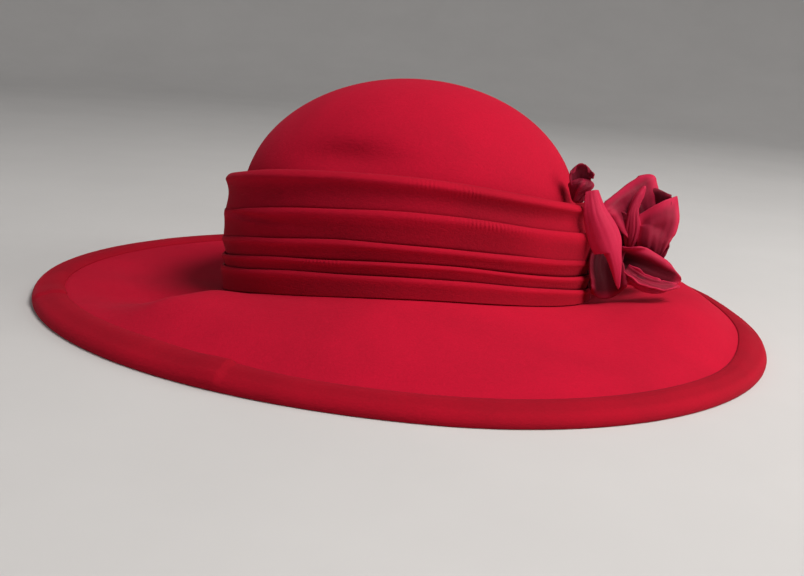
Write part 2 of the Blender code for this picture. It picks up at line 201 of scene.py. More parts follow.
class HatForm:
    """The hat's main surfaces as functions of the angle round it and of a level or a share."""

    def __init__(self, sizes):
        self.sizes = sizes
        self.origin = np.array((CROWN_X, 0.0, JUNCTION_HEIGHT))
        self.back = unit(np.array((1, 0, JUNCTION_BACK_RISE / sizes.crown_half_length)))
        self.up = unit(np.array((-JUNCTION_BACK_RISE / sizes.crown_half_length,
                                 JUNCTION_NEAR_RISE / sizes.crown_half_width, 1)))
        self.far = np.cross(self.up, self.back)
        self.widest_x = (sizes.brim_front - sizes.brim_back) / 2

    def in_crown(self, back, far, up):
        """Places given in the crown's frame, in the hat's frame."""
        return self.origin + points_of(back, far, up) @ np.array([self.back, self.far, self.up])

    def foot_level(self, angle):
        return -JUNCTION_SADDLE * np.cos(2 * angle)

    def crown_share(self, level):
        """A slight taper up to the spring of the dome, then a quarter ellipse to the apex."""
        side = 1 - CROWN_TAPER * np.minimum(level / CROWN_SPRING, 1)
        rise = (level - CROWN_SPRING) / (self.sizes.crown_height - CROWN_SPRING)
        return side * np.sqrt(1 - np.clip(rise, 0, 1) ** 2)

    def crown_wall(self, angle, level, reach=0.0):
        """An ellipse at each level, moved out by reach along its plan's normal."""
        sizes = self.sizes
        share = self.crown_share(level)
        normal = unit(points_of(np.cos(angle) / sizes.crown_half_length,
                                np.sin(angle) / sizes.crown_half_width))
        back = sizes.crown_half_length * share * np.cos(angle) + reach * normal[..., 0]
        far = sizes.crown_half_width * share * np.sin(angle) + reach * normal[..., 1]
        return self.in_crown(back, far, level)

    def outline(self, angle, inset, height):
        """The brim's outline in plan, two half ellipses that meet at its widest, moved in."""
        sizes = self.sizes
        reach = np.where(np.cos(angle) < 0, sizes.brim_front, sizes.brim_back) - inset
        return points_of(self.widest_x + reach * np.cos(angle),
                         (sizes.brim_half_width - inset) * np.sin(angle), height)

    def brim_lines(self, angle):
        """The brim's foot at the crown, its felt edge and its hem line, and the way out in plan."""
        sizes = self.sizes
        foot = self.crown_wall(angle, self.foot_level(angle))
        edge = self.outline(angle, BINDING_GAP + sizes.binding_wall, EDGE_HEIGHT)
        out = unit((edge - foot)[:, :2])
        out = points_of(out[:, 0], out[:, 1], 0.0)
        drop = HEM_DROP * round_table(BRIM_SECTIONS, BRIM_COLUMNS.index("hem"), angle)
        width = np.sqrt(sizes.binding_width**2 - drop**2)
        hem = edge - out * width[:, None]
        hem[:, 2] += drop
        return foot, edge, hem, out

    def brim_width(self, angle):
        """Width in plan from the brim's foot to its hem line."""
        foot, _, hem, _ = self.brim_lines(angle)
        return np.linalg.norm((hem - foot)[:, :2], axis=1)

    def brim_top(self, angle, share):
        """Two cubics in height over a straight line in plan, from the foot to the hem line."""
        foot, _, hem, _ = self.brim_lines(angle)
        share = np.asarray(share) + 0 * angle
        plan = foot + (hem - foot) * share[..., None]
        low, high = hem[:, 2], foot[:, 2]
        middle = high * round_table(BRIM_SECTIONS, BRIM_COLUMNS.index("middle"), angle)
        inner = hermite(share / MIDDLE_SHARE, high, middle, middle - high,
                        (low - high) * MIDDLE_SHARE)
        outer = hermite((share - MIDDLE_SHARE) / (1 - MIDDLE_SHARE), middle, low,
                        (low - high) * (1 - MIDDLE_SHARE), (low - middle) * HEM_STEEPNESS)
        height = np.where(share < MIDDLE_SHARE, inner, outer)
        return points_of(plan[..., 0], plan[..., 1], height)


def surface(name, grid, wrap=False, closed=False, pole=None, uv=None, values=None):
    """A mesh object from a grid of points: wrap joins its columns, closed its rows.

    pole is a point to which the last row is closed. uv has a column more than a wrapped grid, and
    values are named numbers for each point. A wrapped surface is turned so that it faces outwards.
    """
    rows, columns = grid.shape[:2]
    points = grid.reshape(-1, 3)
    index = np.arange(rows * columns).reshape(rows, columns)
    corner = np.arange(rows * (columns + wrap)).reshape(rows, columns + wrap)
    if wrap:
        index = np.concatenate([index, index[:, :1]], axis=1)
    if closed:
        index = np.concatenate([index, index[:1]])
        corner = np.concatenate([corner, corner[:1]])
    faces, corners = cells(index), cells(corner)
    turned = wrap and inside_out(points, faces)
    if turned:
        faces, corners = faces[:, ::-1], corners[:, ::-1]
    face_list, corner_list = faces.tolist(), corners.reshape(-1)
    if pole is not None:
        order = (1, 0, 2) if turned else (0, 1, 2)
        fan = np.column_stack([index[-1, :-1], index[-1, 1:], np.full(columns, len(points))])
        face_list += fan[:, order].tolist()
        fan = np.column_stack([corner[-1, :-1], corner[-1, 1:], corner[-1, :-1]])
        corner_list = np.concatenate([corner_list, fan[:, order].reshape(-1)])
        points = np.concatenate([points, [pole]])
    mesh = bpy.data.meshes.new(name)
    mesh.from_pydata(points.tolist(), [], face_list)
    if uv is not None:
        layer = mesh.uv_layers.new(name="UVMap")
        places = uv.reshape(-1, 2)[corner_list].astype(np.float32)
        layer.uv.foreach_set("vector", places.reshape(-1))
    for key, value in (values or {}).items():
        layer = mesh.attributes.new(key, "FLOAT", "POINT")
        numbers = np.zeros(len(points), np.float32)
        numbers[:rows * columns] = np.broadcast_to(value, (rows, columns)).reshape(-1)
        layer.data.foreach_set("value", numbers)
    mesh.shade_smooth()
    mesh.validate()
    thing = bpy.data.objects.new(name, mesh)
    bpy.context.scene.collection.objects.link(thing)
    return thing


def cells(index):
    """The quads of a grid of point numbers."""
    return np.stack([index[:-1, :-1], index[:-1, 1:], index[1:, 1:], index[1:, :-1]],
                    axis=-1).reshape(-1, 4)


def inside_out(points, faces):
    """Whether the faces point towards the middle of the points on the whole."""
    a, b, c = (points[faces[:, item]] for item in (0, 1, 2))
    middle = points.mean(axis=0)
    return float(((a - middle) * np.cross(b - a, c - a)).sum()) < 0


def give_wall(thing, thickness, offset):
    wall = thing.modifiers.new("Wall", "SOLIDIFY")
    wall.thickness = thickness
    wall.offset = offset
    wall.use_even_offset = False


def dress(thing, finish):
    """The piece gets its finish and its slot, and rides with the hat."""
    thing.data.materials.append(finish)
    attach(thing, "root")


# Materials


class Graph:
    """A node tree with short ways to add a node and to feed sockets."""

    def __init__(self, tree):
        self.tree = tree

    def feed(self, sockets, values):
        """Gives each socket its value: a link if that is a node's output, else a default."""
        for key, value in values.items():
            if isinstance(value, bpy.types.NodeSocket):
                self.tree.links.new(value, sockets[key])
            else:
                sockets[key].default_value = value

    def add(self, kind, inputs=None, **settings):
        node = self.tree.nodes.new(kind)
        for key, value in settings.items():
            setattr(node, key, value)
        self.feed(node.inputs, inputs or {})
        return node

    def math(self, operation, a, b=0.0, clamp=False):
        return self.add("ShaderNodeMath", {0: a, 1: b}, operation=operation,
                        use_clamp=clamp).outputs[0]

    def weighted(self, *terms):
        """The sum of the terms, each a value and its weight."""
        total, *others = (self.math("MULTIPLY", *term) for term in terms)
        for other in others:
            total = self.math("ADD", total, other)
        return total

    def wave(self, turns):
        """The sine of a number of whole turns."""
        return self.math("SINE", self.math("MULTIPLY", turns, 2 * math.pi))

    def noise(self, place, scale, detail=2.0, roughness=0.5, distortion=0.0):
        return self.add("ShaderNodeTexNoise", {
            "Vector": place, "Scale": scale, "Detail": detail, "Roughness": roughness,
            "Distortion": distortion,
        }).outputs["Fac"]

    def spread(self, value, low, high, to_low=0.0, to_high=1.0):
        """A number carried from low..high to to_low..to_high, held at both ends."""
        return self.add("ShaderNodeMapRange", {
            "Value": value, "From Min": low, "From Max": high, "To Min": to_low,
            "To Max": to_high,
        }).outputs["Result"]

    def stretched(self, place, scale):
        return self.add("ShaderNodeVectorMath", {0: place, 1: scale},
                        operation="MULTIPLY").outputs["Vector"]

    def apart(self, place):
        return self.add("ShaderNodeSeparateXYZ", {0: place}).outputs

    def color_mix(self, share, a, b):
        return self.add("ShaderNodeMix", {0: share, 6: a, 7: b}, data_type="RGBA").outputs[2]

    def bump(self, height, strength, distance):
        return self.add("ShaderNodeBump", {
            "Height": height, "Strength": strength, "Distance": distance,
        }).outputs["Normal"]

    def object_place(self):
        return self.add("ShaderNodeTexCoord").outputs["Object"]

    def strip_place(self):
        return self.add("ShaderNodeUVMap", uv_map="UVMap").outputs["UV"]

    def attribute(self, name):
        return self.add("ShaderNodeAttribute", attribute_name=name).outputs["Fac"]

    def group(self, name, inputs):
        return self.add("ShaderNodeGroup", inputs, node_tree=bpy.data.node_groups[name]).outputs


def new_group(name, numbers, outputs):
    """A shader group that takes a place and named numbers and gives the named values."""
    tree = bpy.data.node_groups.new(name, "ShaderNodeTree")
    tree.interface.new_socket("Place", in_out="INPUT", socket_type="NodeSocketVector")
    for title, default in numbers.items():
        socket = tree.interface.new_socket(title, in_out="INPUT", socket_type="NodeSocketFloat")
        socket.default_value = default
    for title in outputs:
        tree.interface.new_socket(title, in_out="OUTPUT", socket_type="NodeSocketFloat")
    graph = Graph(tree)
    return graph, graph.add("NodeGroupInput").outputs, graph.add("NodeGroupOutput").inputs


def build_nap_group():
    """Wool nap: matted short fibres, pills, and slow mottling where the felt took the dye unevenly."""
    graph, given, out = new_group("wool_nap", {"Fibre Scale": 900.0, "Mottle Scale": 16.0},
                                  ("Tone", "Height"))
    place, fibre = given["Place"], given["Fibre Scale"]
    fine = graph.noise(place, fibre, detail=3.0, roughness=0.65, distortion=0.6)
    matted = graph.noise(place, graph.math("MULTIPLY", fibre, 0.28), roughness=0.6, distortion=1.8)
    strands = graph.add("ShaderNodeTexVoronoi", {
        "Vector": graph.stretched(place, (0.35, 1.0, 0.7)),
        "Scale": graph.math("MULTIPLY", fibre, 0.55),
    }, feature="DISTANCE_TO_EDGE").outputs["Distance"]
    strands = graph.spread(strands, 0.0, 0.22)
    mottle = graph.noise(place, given["Mottle Scale"], detail=3.0, roughness=0.55, distortion=0.4)
    mottle = graph.spread(mottle, 0.32, 0.68)
    graph.feed(out, {
        "Tone": graph.weighted((mottle, 0.35), (fine, 0.40), (matted, 0.25)),
        "Height": graph.weighted((fine, 0.45), (matted, 0.40), (strands, 0.15)),
    })


def build_rib_group():
    """Fine pressed ribs that run across a fold's crest, broken up by noise and kept to a mask."""
    graph, given, out = new_group("pressed_ribs", {"Ribs Per Metre": 480.0, "Mask": 1.0},
                                  ("Height",))
    place = given["Place"]
    turns = graph.math("MULTIPLY", graph.apart(place)["X"], given["Ribs Per Metre"])
    wobble = graph.math("MULTIPLY", graph.noise(place, 160.0, detail=1.0), 0.8)
    patchy = graph.spread(graph.noise(place, 70.0, detail=1.0), 0.35, 0.6)
    ribs = graph.math("MULTIPLY", graph.wave(graph.math("ADD", turns, wobble)), patchy)
    graph.feed(out, {"Height": graph.math("MULTIPLY", ribs, given["Mask"])})


def build_cloth_group():
    """A close plain weave with slow streaks of painted sheen, on a UV map in metres."""
    graph, given, out = new_group("close_weave", {"Threads Per Metre": 1500.0},
                                  ("Tone", "Height"))
    place = given["Place"]
    apart = graph.apart(place)
    warp, weft = (graph.wave(graph.math("MULTIPLY", apart[axis], given["Threads Per Metre"]))
                  for axis in ("X", "Y"))
    weave = graph.math("MULTIPLY", warp, weft)
    # Slow streaks of painted sheen
    streaks = graph.noise(graph.stretched(place, (1.0, 0.18, 1.0)), 420.0, roughness=0.6)
    crumple = graph.noise(place, 95.0, detail=3.0, roughness=0.6, distortion=0.8)
    graph.feed(out, {
        "Tone": graph.weighted((streaks, 0.5), (crumple, 0.5)),
        "Height": graph.weighted((weave, 0.1), (crumple, 0.9)),
    })


def shades(color, dark, light):
    """A darker and a lighter shade of a colour, as RGBA."""
    return (*(part * dark for part in color), 1), (*(min(part * light, 1) for part in color), 1)


def new_finish(name):
    """A material, its graph and the inputs of its shader."""
    made = bpy.data.materials.new(name)
    made.use_nodes = True
    return made, Graph(made.node_tree), made.node_tree.nodes["Principled BSDF"].inputs


def felt_material(name, color, fibre_scale, mottle_scale, bump, dark=0.88, ribs=False, crest=0.0):
    """Matted felt: nap from noise on object coordinates, with painted highlight on crests and painted
    shade on the planes between them.
    """
    made, graph, shader = new_finish(name)
    nap = graph.group("wool_nap", {
        "Place": graph.object_place(), "Fibre Scale": fibre_scale, "Mottle Scale": mottle_scale,
    })
    tone = graph.spread(nap["Tone"], 0.30, 0.72)
    # Painted highlight where the crest attribute is high, painted shade where it is low
    if crest:
        painted_crest_light = graph.math("MULTIPLY", graph.attribute("crest"), crest)
        tone = graph.math("ADD", graph.math("MULTIPLY", tone, 1 - crest), painted_crest_light, clamp=True)
    height = nap["Height"]
    if ribs:
        pressed = graph.group("pressed_ribs", {
            "Place": graph.strip_place(), "Mask": graph.attribute("ribs"),
        })["Height"]
        height = graph.math("ADD", height, graph.math("MULTIPLY", pressed, 0.6))
    graph.feed(shader, {
        "Base Color": graph.color_mix(tone, *shades(color, dark, 1.10)),
        "Roughness": graph.spread(nap["Tone"], 0.2, 0.8, 0.84, 0.97),
        "Normal": graph.bump(height, 0.75, bump),
        "Specular IOR Level": 0.10,
        "Sheen Weight": 0.07,
        "Sheen Roughness": 0.45,
        "Sheen Tint": (1.0, 0.15, 0.28, 1),
    })
    return made


def rose_material(name, color, painted_rim_color):
    """Close-woven cloth with a soft sheen: painted shade deep in its folds, painted highlight on its
    rims.
    """
    made, graph, shader = new_finish(name)
    cloth = graph.group("close_weave", {"Place": graph.strip_place()})
    dark, light = shades(color, 0.72, 1.30)
    base = graph.color_mix(graph.spread(cloth["Tone"], 0.32, 0.70), dark, light)
    # Painted shade towards the roots and on sheets that lie in shadow
    base = graph.color_mix(graph.attribute("painted_shade"), base, shades(color, 0.30, 1)[0])
    # Painted highlight on the rims, in the rims' colour
    rim = graph.math("MULTIPLY", graph.attribute("rim"), 0.75)
    graph.feed(shader, {
        "Base Color": graph.color_mix(rim, base, (*painted_rim_color, 1)),
        "Roughness": graph.spread(cloth["Tone"], 0.2, 0.8, 0.46, 0.66),
        "Normal": graph.bump(cloth["Height"], 0.6, 0.0006),
        "Specular IOR Level": 0.14,
        "Sheen Weight": 0.05,
        "Sheen Roughness": 0.35,
        "Sheen Tint": (1.0, 0.25, 0.4, 1),
    })
    return made


# The felt body

BODY_SEGMENTS = 320
BRIM_ROWS = 44
FILLET_ROWS = 6
WALL_ROWS = 10
DOME_ROWS = 40
# Slow waves of the brim's height and of the crown's reach: height and seed
BRIM_WAVES = ((0.0006, 3), (0.00036, 5))
CROWN_WAVE = (0.0004, 9)
# Shares of the way from the felt's edge to the hem line where rows lie hidden in the binding
HIDDEN_ROWS = (0.0, 0.5)
# The crest on the near-left of the brim: azimuth, spread towards the dish and towards the near side,
# and height. CREST_EDGE rounds its top, in degrees
BRIM_CREST = (-136, 6, 24, 0.0060)
CREST_EDGE = 1.0
# Where the crest begins and is full, and where it begins to fall and ends, from the crown outwards
CREST_RISE, CREST_FALL = (0.05, 0.42), (0.62, 1)
# The dish before it: azimuth, spread and depth
BRIM_DISH = (-153, 13, 0.0082)


def felt_grid(form):
    """Rings from the felt's edge along the brim, round a fillet, up the crown to near its apex.

    The brim gets slow waves of its height, one and two half sines across it. The fillet's points
    are corner + (brim - corner)(1 - sin) + (wall - corner)(1 - cos) over a quarter turn.
    """
    angle = full_turn(BODY_SEGMENTS, -math.pi)
    corner, edge, hem, _ = form.brim_lines(angle)
    along = np.linspace(0, 1, BRIM_ROWS)[:, None]
    share = 1 - (1 - JUNCTION_FILLET / form.brim_width(angle)) * along
    brim = form.brim_top(angle, share)
    for halves, (height, seed) in enumerate(BRIM_WAVES, start=1):
        brim[..., 2] += height * wander(angle, seed) * np.sin(halves * math.pi * share)
    brim[..., 2] += brim_relief(angle, share)
    foot = form.foot_level(angle) + JUNCTION_FILLET
    bend = (np.arange(1, FILLET_ROWS) / FILLET_ROWS * math.pi / 2)[:, None, None]
    fillet = (corner + (brim[-1] - corner) * (1 - np.sin(bend))
              + (form.crown_wall(angle, foot) - corner) * (1 - np.cos(bend)))
    hidden = edge + (hem - edge) * np.array(HIDDEN_ROWS)[:, None, None]
    return np.concatenate([hidden, brim, fillet, crown_grid(form, angle, foot)])


def crown_grid(form, angle, foot):
    """Rings up the wall, and up the dome by a sine of their share, so closer towards the apex.

    The crown gets a slow wave of its reach, less each dent: depth times a bell of azimuth times a
    bell of level.
    """
    top = form.sizes.crown_height
    share = np.linspace(0, 1, WALL_ROWS, endpoint=False)[:, None]
    wall = foot + (CROWN_SPRING - foot) * share
    rise = np.sin(math.pi / 2 * np.linspace(0, 1, DOME_ROWS, endpoint=False))[:, None]
    dome = CROWN_SPRING + (top - CROWN_SPRING) * rise + 0 * angle
    levels = np.concatenate([wall, dome])
    height, seed = CROWN_WAVE
    reach = height * wander(angle, seed) * np.sin(math.pi * levels / top)
    for azimuth, spread, level, tall, depth in DENTS:
        reach = reach - depth * bell_at(angle, azimuth, spread) * bell(levels - level, tall)
    return form.crown_wall(angle, levels, reach * form.crown_share(levels))


def brim_relief(angle, share):
    """The crest is exp of minus a rounded distance from its line, and the dish is a bell.

    The rounded distance is sqrt(turn^2 + CREST_EDGE^2) - CREST_EDGE. It counts faster on the dish's
    side, so the crest falls steeply there. Both die out at the crown and at the hem.
    """
    azimuth, steep, gentle, height = BRIM_CREST
    turn = turn_between(angle, azimuth)
    away = np.sqrt(turn**2 + CREST_EDGE**2) - CREST_EDGE
    crest = height * np.exp(-away / np.where(turn < 0, steep, gentle))
    crest = crest * ramp(share, *CREST_RISE) * (1 - ramp(share, *CREST_FALL))
    azimuth, spread, depth = BRIM_DISH
    dish = depth * bell_at(angle, azimuth, spread) * np.sin(math.pi * share)
    return crest - dish


def make_felt_body(form, finish):
    grid = felt_grid(form)
    pole = form.crown_wall(0.0, form.sizes.crown_height)
    body = surface("felt_hat_body", grid, wrap=True, pole=pole)
    give_wall(body, form.sizes.felt, -1)
    dress(body, finish)
    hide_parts("felt_body")


# The edge binding

BINDING_SEGMENTS = 720
BINDING_ROWS = 52
# The joins of the strip: azimuth in degrees where an end lies on top, step, and length in degrees
BINDING_JOINS = ((-113.3, 0.0015, 7.0), (-158.0, 0.0009, 7.0), (96.0, 0.0009, 7.0))
# Degrees over which a join steps up and after which it sinks, and how much wider the strip's top and
# underside are there, as a share of the step
JOIN_STEP, JOIN_TOP = 0.3, 0.8
JOIN_WIDENING = 0.8
# How far the strip is puffed up over the hem, and small waves round it: height, seed and counts
BINDING_PUFF = 0.0006
BINDING_WAVES = (0.00012, 21, (9, 17, 31, 47))
# The painted highlight along the strip: place and spread as shares of its width
BINDING_HIGHLIGHT = (0.40, 0.07)
# It is drawn thinner than it is, so that its inner side clears the felt
BINDING_THINNING = 0.9
# On the near side the strip's top is narrower: by how much, between which azimuths in degrees, and
# over how many degrees it changes
BINDING_NARROWING = 0.0040
NARROW_FROM, NARROW_TO = -128, -14
NARROWING_ENDS = 26


def binding_lap(angle):
    """How far the strip steps up: steeply at each join, then back down beyond it."""
    lap = 0 * angle
    for azimuth, step, length in BINDING_JOINS:
        past = -turn_between(angle, azimuth)
        lap = lap + step * ramp(past, -JOIN_STEP, 0.0) * (1 - ramp(past, JOIN_TOP, length))
    return lap


def binding_narrowing(angle):
    """How much narrower the strip's top is: on the near side, by a rise and a fall."""
    degrees = np.degrees(angle)
    begun = ramp(degrees, NARROW_FROM, NARROW_FROM + NARROWING_ENDS)
    return BINDING_NARROWING * begun * (1 - ramp(degrees, NARROW_TO - NARROWING_ENDS, NARROW_TO))


def binding_grid(form):
    """The strip's outer side, as a cubic curve through stations across its width.

    run goes along the hem to the brim's edge and rise stands on it. skin is how far the outer side
    stands off the felt, and top and inner are where the strip's two free edges lie.
    """
    angle = full_turn(BINDING_SEGMENTS, -math.pi)
    sizes = form.sizes
    width, wall = sizes.binding_width, sizes.binding_wall
    _, edge, hem, out = form.brim_lines(angle)
    run = unit(edge - hem)
    rise = unit(points_of(-run[:, 2] * out[:, 0], -run[:, 2] * out[:, 1],
                          np.linalg.norm(run[:, :2], axis=1)))
    lap = binding_lap(angle)
    height, seed, waves = BINDING_WAVES
    skin = (BINDING_GAP + wall + lap + height * wander(angle, seed, waves))[:, None]
    inner = (2 * BINDING_GAP - JOIN_WIDENING * lap)[:, None]
    narrow = binding_narrowing(angle)[:, None]
    top = inner + narrow

    def place(along, above):
        return hem + run * along + rise * above

    over_hem = [
        place(top - 0.0010, 0.0003),
        place(top + 0.0002, 0.55 * skin),
        place(top + 0.0022, skin),
        place(0.35 * width + 0.8 * narrow, skin + 0.9 * BINDING_PUFF),
        place(0.70 * width + 0.4 * narrow, skin + BINDING_PUFF),
        place(width - wall, skin + 0.3 * BINDING_PUFF),
    ]
    round_edge = [
        place(width + 0.45 * skin, 0.45 * skin),
        form.outline(angle, 0.0, 0.45 * EDGE_HEIGHT),
        form.outline(angle, 0.35 * wall, 0.08 * EDGE_HEIGHT),
        form.outline(angle, REST_START, 0.0),
        form.outline(angle, BINDING_REST, 0.0),
    ]
    under_hem = [place(0.5 * width, -sizes.felt - skin), place(inner, -sizes.felt - skin)]
    stations = np.array(over_hem + round_edge + under_hem)
    lengths = row_lengths(stations)
    across = np.linspace(0, 1, BINDING_ROWS)
    grid = through(lengths / lengths[-1], stations, across)
    grid[..., 2] = np.maximum(grid[..., 2], 0)
    return grid, across * lengths[-1]


def row_lengths(grid):
    """How far each row is from the first, by the mean length of the steps from row to row."""
    steps = np.linalg.norm(np.diff(grid, axis=0), axis=-1).mean(axis=1)
    return np.concatenate([[0], np.cumsum(steps)])


def perimeter(points):
    return np.linalg.norm(points - np.roll(points, 1, axis=0), axis=1).sum()


def strip_uv(grid, across):
    """A UV map in metres: along the strip by the length of a row near its middle, and across it."""
    rows, columns = grid.shape[:2]
    along = np.linspace(0, perimeter(grid[rows // 3]), columns + 1)
    return points_of(along[None, :], np.asarray(across)[:, None])


def make_edge_binding(form, finish):
    grid, across = binding_grid(form)
    # The crest value paints a highlight along the strip
    middle, spread = BINDING_HIGHLIGHT
    crest = bell(across / across[-1] - middle, spread)[:, None]
    strip = surface("folded_binding", grid, wrap=True, uv=strip_uv(grid, across),
                    values={"crest": crest})
    give_wall(strip, form.sizes.binding_wall * BINDING_THINNING, -1)
    dress(strip, finish)
    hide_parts("edge_binding")


# The draped band

BAND_SEGMENTS = 420
PLEAT_ROWS = 14
LIP_ROWS = 9
GROOVE = 0.0016
GROOVE_HEIGHT = 0.0014
BAND_BACK_ROWS = 8
# Powers of the share of a pleat's height: for its rows, which are closer at its foot, for the way
# that it leans out, and for its hollow. The crest's painted highlight spreads over CREST_SPREAD of
# that height
PLEAT_CROWDING, PLEAT_LEAN, HOLLOW_POWER = 1.3, 1.1, 1.4
CREST_SPREAD = 0.22
# How far inside the last lip the next pleat starts, as a share of the lip's height
LIP_OVERLAP = 0.15
# The band's distance from the crown, and its lip's from the brim
BAND_GAP = 0.0003
LIP_GAP = 0.0006
# How much a pleat's level, crest and foot waver: height or share, and the first pleat's seed
LEVEL_WAVER, CREST_WAVER, FOOT_WAVER = (0.0007, 40), (0.05, 60), (0.06, 80)
# A fine ripple of the rows: height, waves round the hat and radians for each metre up
RIPPLE = (0.00022, 7, 260)
# The groove under this pleat fades out towards the rose, between two azimuths in degrees, until the
# foot's reach is FADED_STEP short of the crest's
FADING_PLEAT = 3
FADED_STEP = 0.10
FADE_START, FADE_END = -62, -42
# It comes back on the far side, between these
FADE_BACK = (20, 60)
# Patches of ribs on the pleats' crests: number of the pleat, azimuth and spread
RIB_PATCHES = ((3, -68, 14), (4, -70, 15), (1, -114, 10))
# At the front the fourth pleat turns down: share added to its foot's reach, taken from its crest's.
# The groove over it fades out there
FRONT_SPREAD = 30
FRONT_BELLY = (0.26, 0.06)
# A tuck under that pleat's crest: azimuth, spread, share of the band's height and how much it gains
# for each degree forwards, width and depth
TUCK = (-143, 15, 0.625, 0.0030, 0.0016, 0.0032)
# A bulge beside the rose: azimuth, spread, level, its spread, and how far it stands out
BULGE = (-19, 24, 0.034, 0.013, 0.0030)


def band_levels(form, angle):
    """The band's lip over the brim, and its height, both in the crown's frame."""
    sizes = form.sizes
    reach = sizes.band_depth * PLEATS[0][PLEAT_COLUMNS.index("foot")]
    low = form.brim_top(angle, reach / form.brim_width(angle))
    lip = (low - form.origin) @ form.up + LIP_GAP
    azimuth, spread, gain = BAND_LIFT
    lift = gain * bell_at(angle, azimuth, spread)
    return lip, sizes.band_height - sizes.band_front_gain * np.cos(angle) + lift


def waver(angle, kind, number):
    """A pleat's own wander of one kind."""
    height, seed = kind
    return height * wander(angle, seed + number)


def pleat_lines(form, angle, lip, height):
    """Each pleat's upper level, foot, crest, hollow and lip's height."""
    to_back = (1 + np.cos(angle)) / 2
    depth = form.sizes.band_depth
    azimuth = np.degrees(angle)
    faded = ramp(azimuth, FADE_START, FADE_END) * (1 - ramp(azimuth, *FADE_BACK))
    front = bell_at(angle, 180, FRONT_SPREAD)
    lines = []
    for number, (front_high, back_high, foot, crest, hollow, radius) in enumerate(PLEATS):
        high = lip + height * (front_high + (back_high - front_high) * to_back)
        if number < len(PLEATS) - 1:
            high = high + waver(angle, LEVEL_WAVER, number)
        crest = crest * (1 + waver(angle, CREST_WAVER, number))
        foot = foot * (1 + waver(angle, FOOT_WAVER, number))
        if number == FADING_PLEAT:
            foot = foot + (crest - FADED_STEP - foot) * faded
            foot, crest = foot + FRONT_BELLY[0] * front, crest - FRONT_BELLY[1] * front
        if number == FADING_PLEAT + 1:
            foot = foot + (lines[-1][2] / depth - foot) * front
        lines.append((high, depth * foot, depth * crest, depth * hollow, radius))
    return lines


def band_front(angle, level, lines):
    """Level and reach of each row of the pleats, how far it is on a crest, and its pleat's number.

    A plane goes from its foot's reach to its crest's by a power of the share of its height, less
    the hollow times a sine and a groove that is a bell at its foot. The lip is half an ellipse over
    to the next foot's reach.
    """
    share = (np.arange(PLEAT_ROWS) / PLEAT_ROWS)[:, None] ** PLEAT_CROWDING
    turn = np.linspace(0, math.pi, LIP_ROWS)[:, None]
    behind = [line[1] for line in lines[1:]] + [lines[-1][2] - 2 * lines[-1][4]]
    parts = []
    for number, (high, foot, crest, hollow, radius) in enumerate(lines):
        middle = high - radius
        groove = GROOVE * bell((middle - level) * share, GROOVE_HEIGHT) * (number > 0)
        if number == FADING_PLEAT + 1:
            groove = groove * (1 - bell_at(angle, 180, FRONT_SPREAD))
        plane = (foot + (crest - foot) * share**PLEAT_LEAN - groove
                 - hollow * np.sin(math.pi * share**HOLLOW_POWER))
        # How far the row is on a crest: it paints the crest's highlight and the plane's shade, and
        # masks the ribs and the ripple
        parts.append(np.broadcast_arrays(level + (middle - level) * share, plane,
                                         bell(share - 1, CREST_SPREAD), number))
        half = (crest - behind[number]) / 2
        parts.append(np.broadcast_arrays(middle + radius * np.sin(turn),
                                         crest - half + half * np.cos(turn),
                                         np.cos(turn / 2) ** 2, number))
        level = middle + LIP_OVERLAP * radius
    return [np.concatenate(rows) for rows in zip(*parts)]


def band_grid(form):
    """Pleats one over the other, with a tuck, a bulge and a ripple, and ribs on some crests.

    Tuck and bulge are bells of azimuth times bells of level. The back follows the crown's side and
    closes the section.
    """
    angle = full_turn(BAND_SEGMENTS, -math.pi)
    lip, height = band_levels(form, angle)
    lines = pleat_lines(form, angle, lip, height)
    levels, reaches, crests, marks = band_front(angle, lip, lines)
    azimuth, spread, share, gain, wide, depth = TUCK
    turn = turn_between(angle, azimuth)
    line = lip + height * (share - gain * turn)
    reaches = reaches - depth * bell(turn, spread) * bell(levels - line, wide)
    azimuth, spread, line, tall, depth = BULGE
    reaches = reaches + depth * bell_at(angle, azimuth, spread) * bell(levels - line, tall)
    rise, waves, steepness = RIPPLE
    ripple = rise * np.sin(waves * angle + steepness * levels) * np.sin(math.pi * crests)
    front = form.crown_wall(angle, levels + ripple, BAND_GAP + np.maximum(reaches, 0))
    foot = form.foot_level(angle) + JUNCTION_FILLET + BAND_GAP
    top = lines[-1][0] - 2 * lines[-1][4]
    bend = np.cos(math.pi / 2 * np.linspace(0, 1, BAND_BACK_ROWS))[:, None]
    back = form.crown_wall(angle, foot + (top - foot) * bend, BAND_GAP)
    ribs = sum((marks == number) * crests**3 * bell_at(angle, azimuth, spread)
               for number, azimuth, spread in RIB_PATCHES)
    bare = ((0, BAND_BACK_ROWS), (0, 0))
    return np.concatenate([front, back]), np.pad(crests, bare), np.pad(ribs, bare)


def make_draped_band(form, finish):
    grid, crests, ribs = band_grid(form)
    across = row_lengths(grid)
    # The crest value paints highlight on the crests and shade on the planes
    band = surface("draped_felt_band", grid, wrap=True, closed=True, uv=strip_uv(grid, across),
                   values={"crest": crests, "ribs": ribs})
    dress(band, finish)
    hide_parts("draped_band")
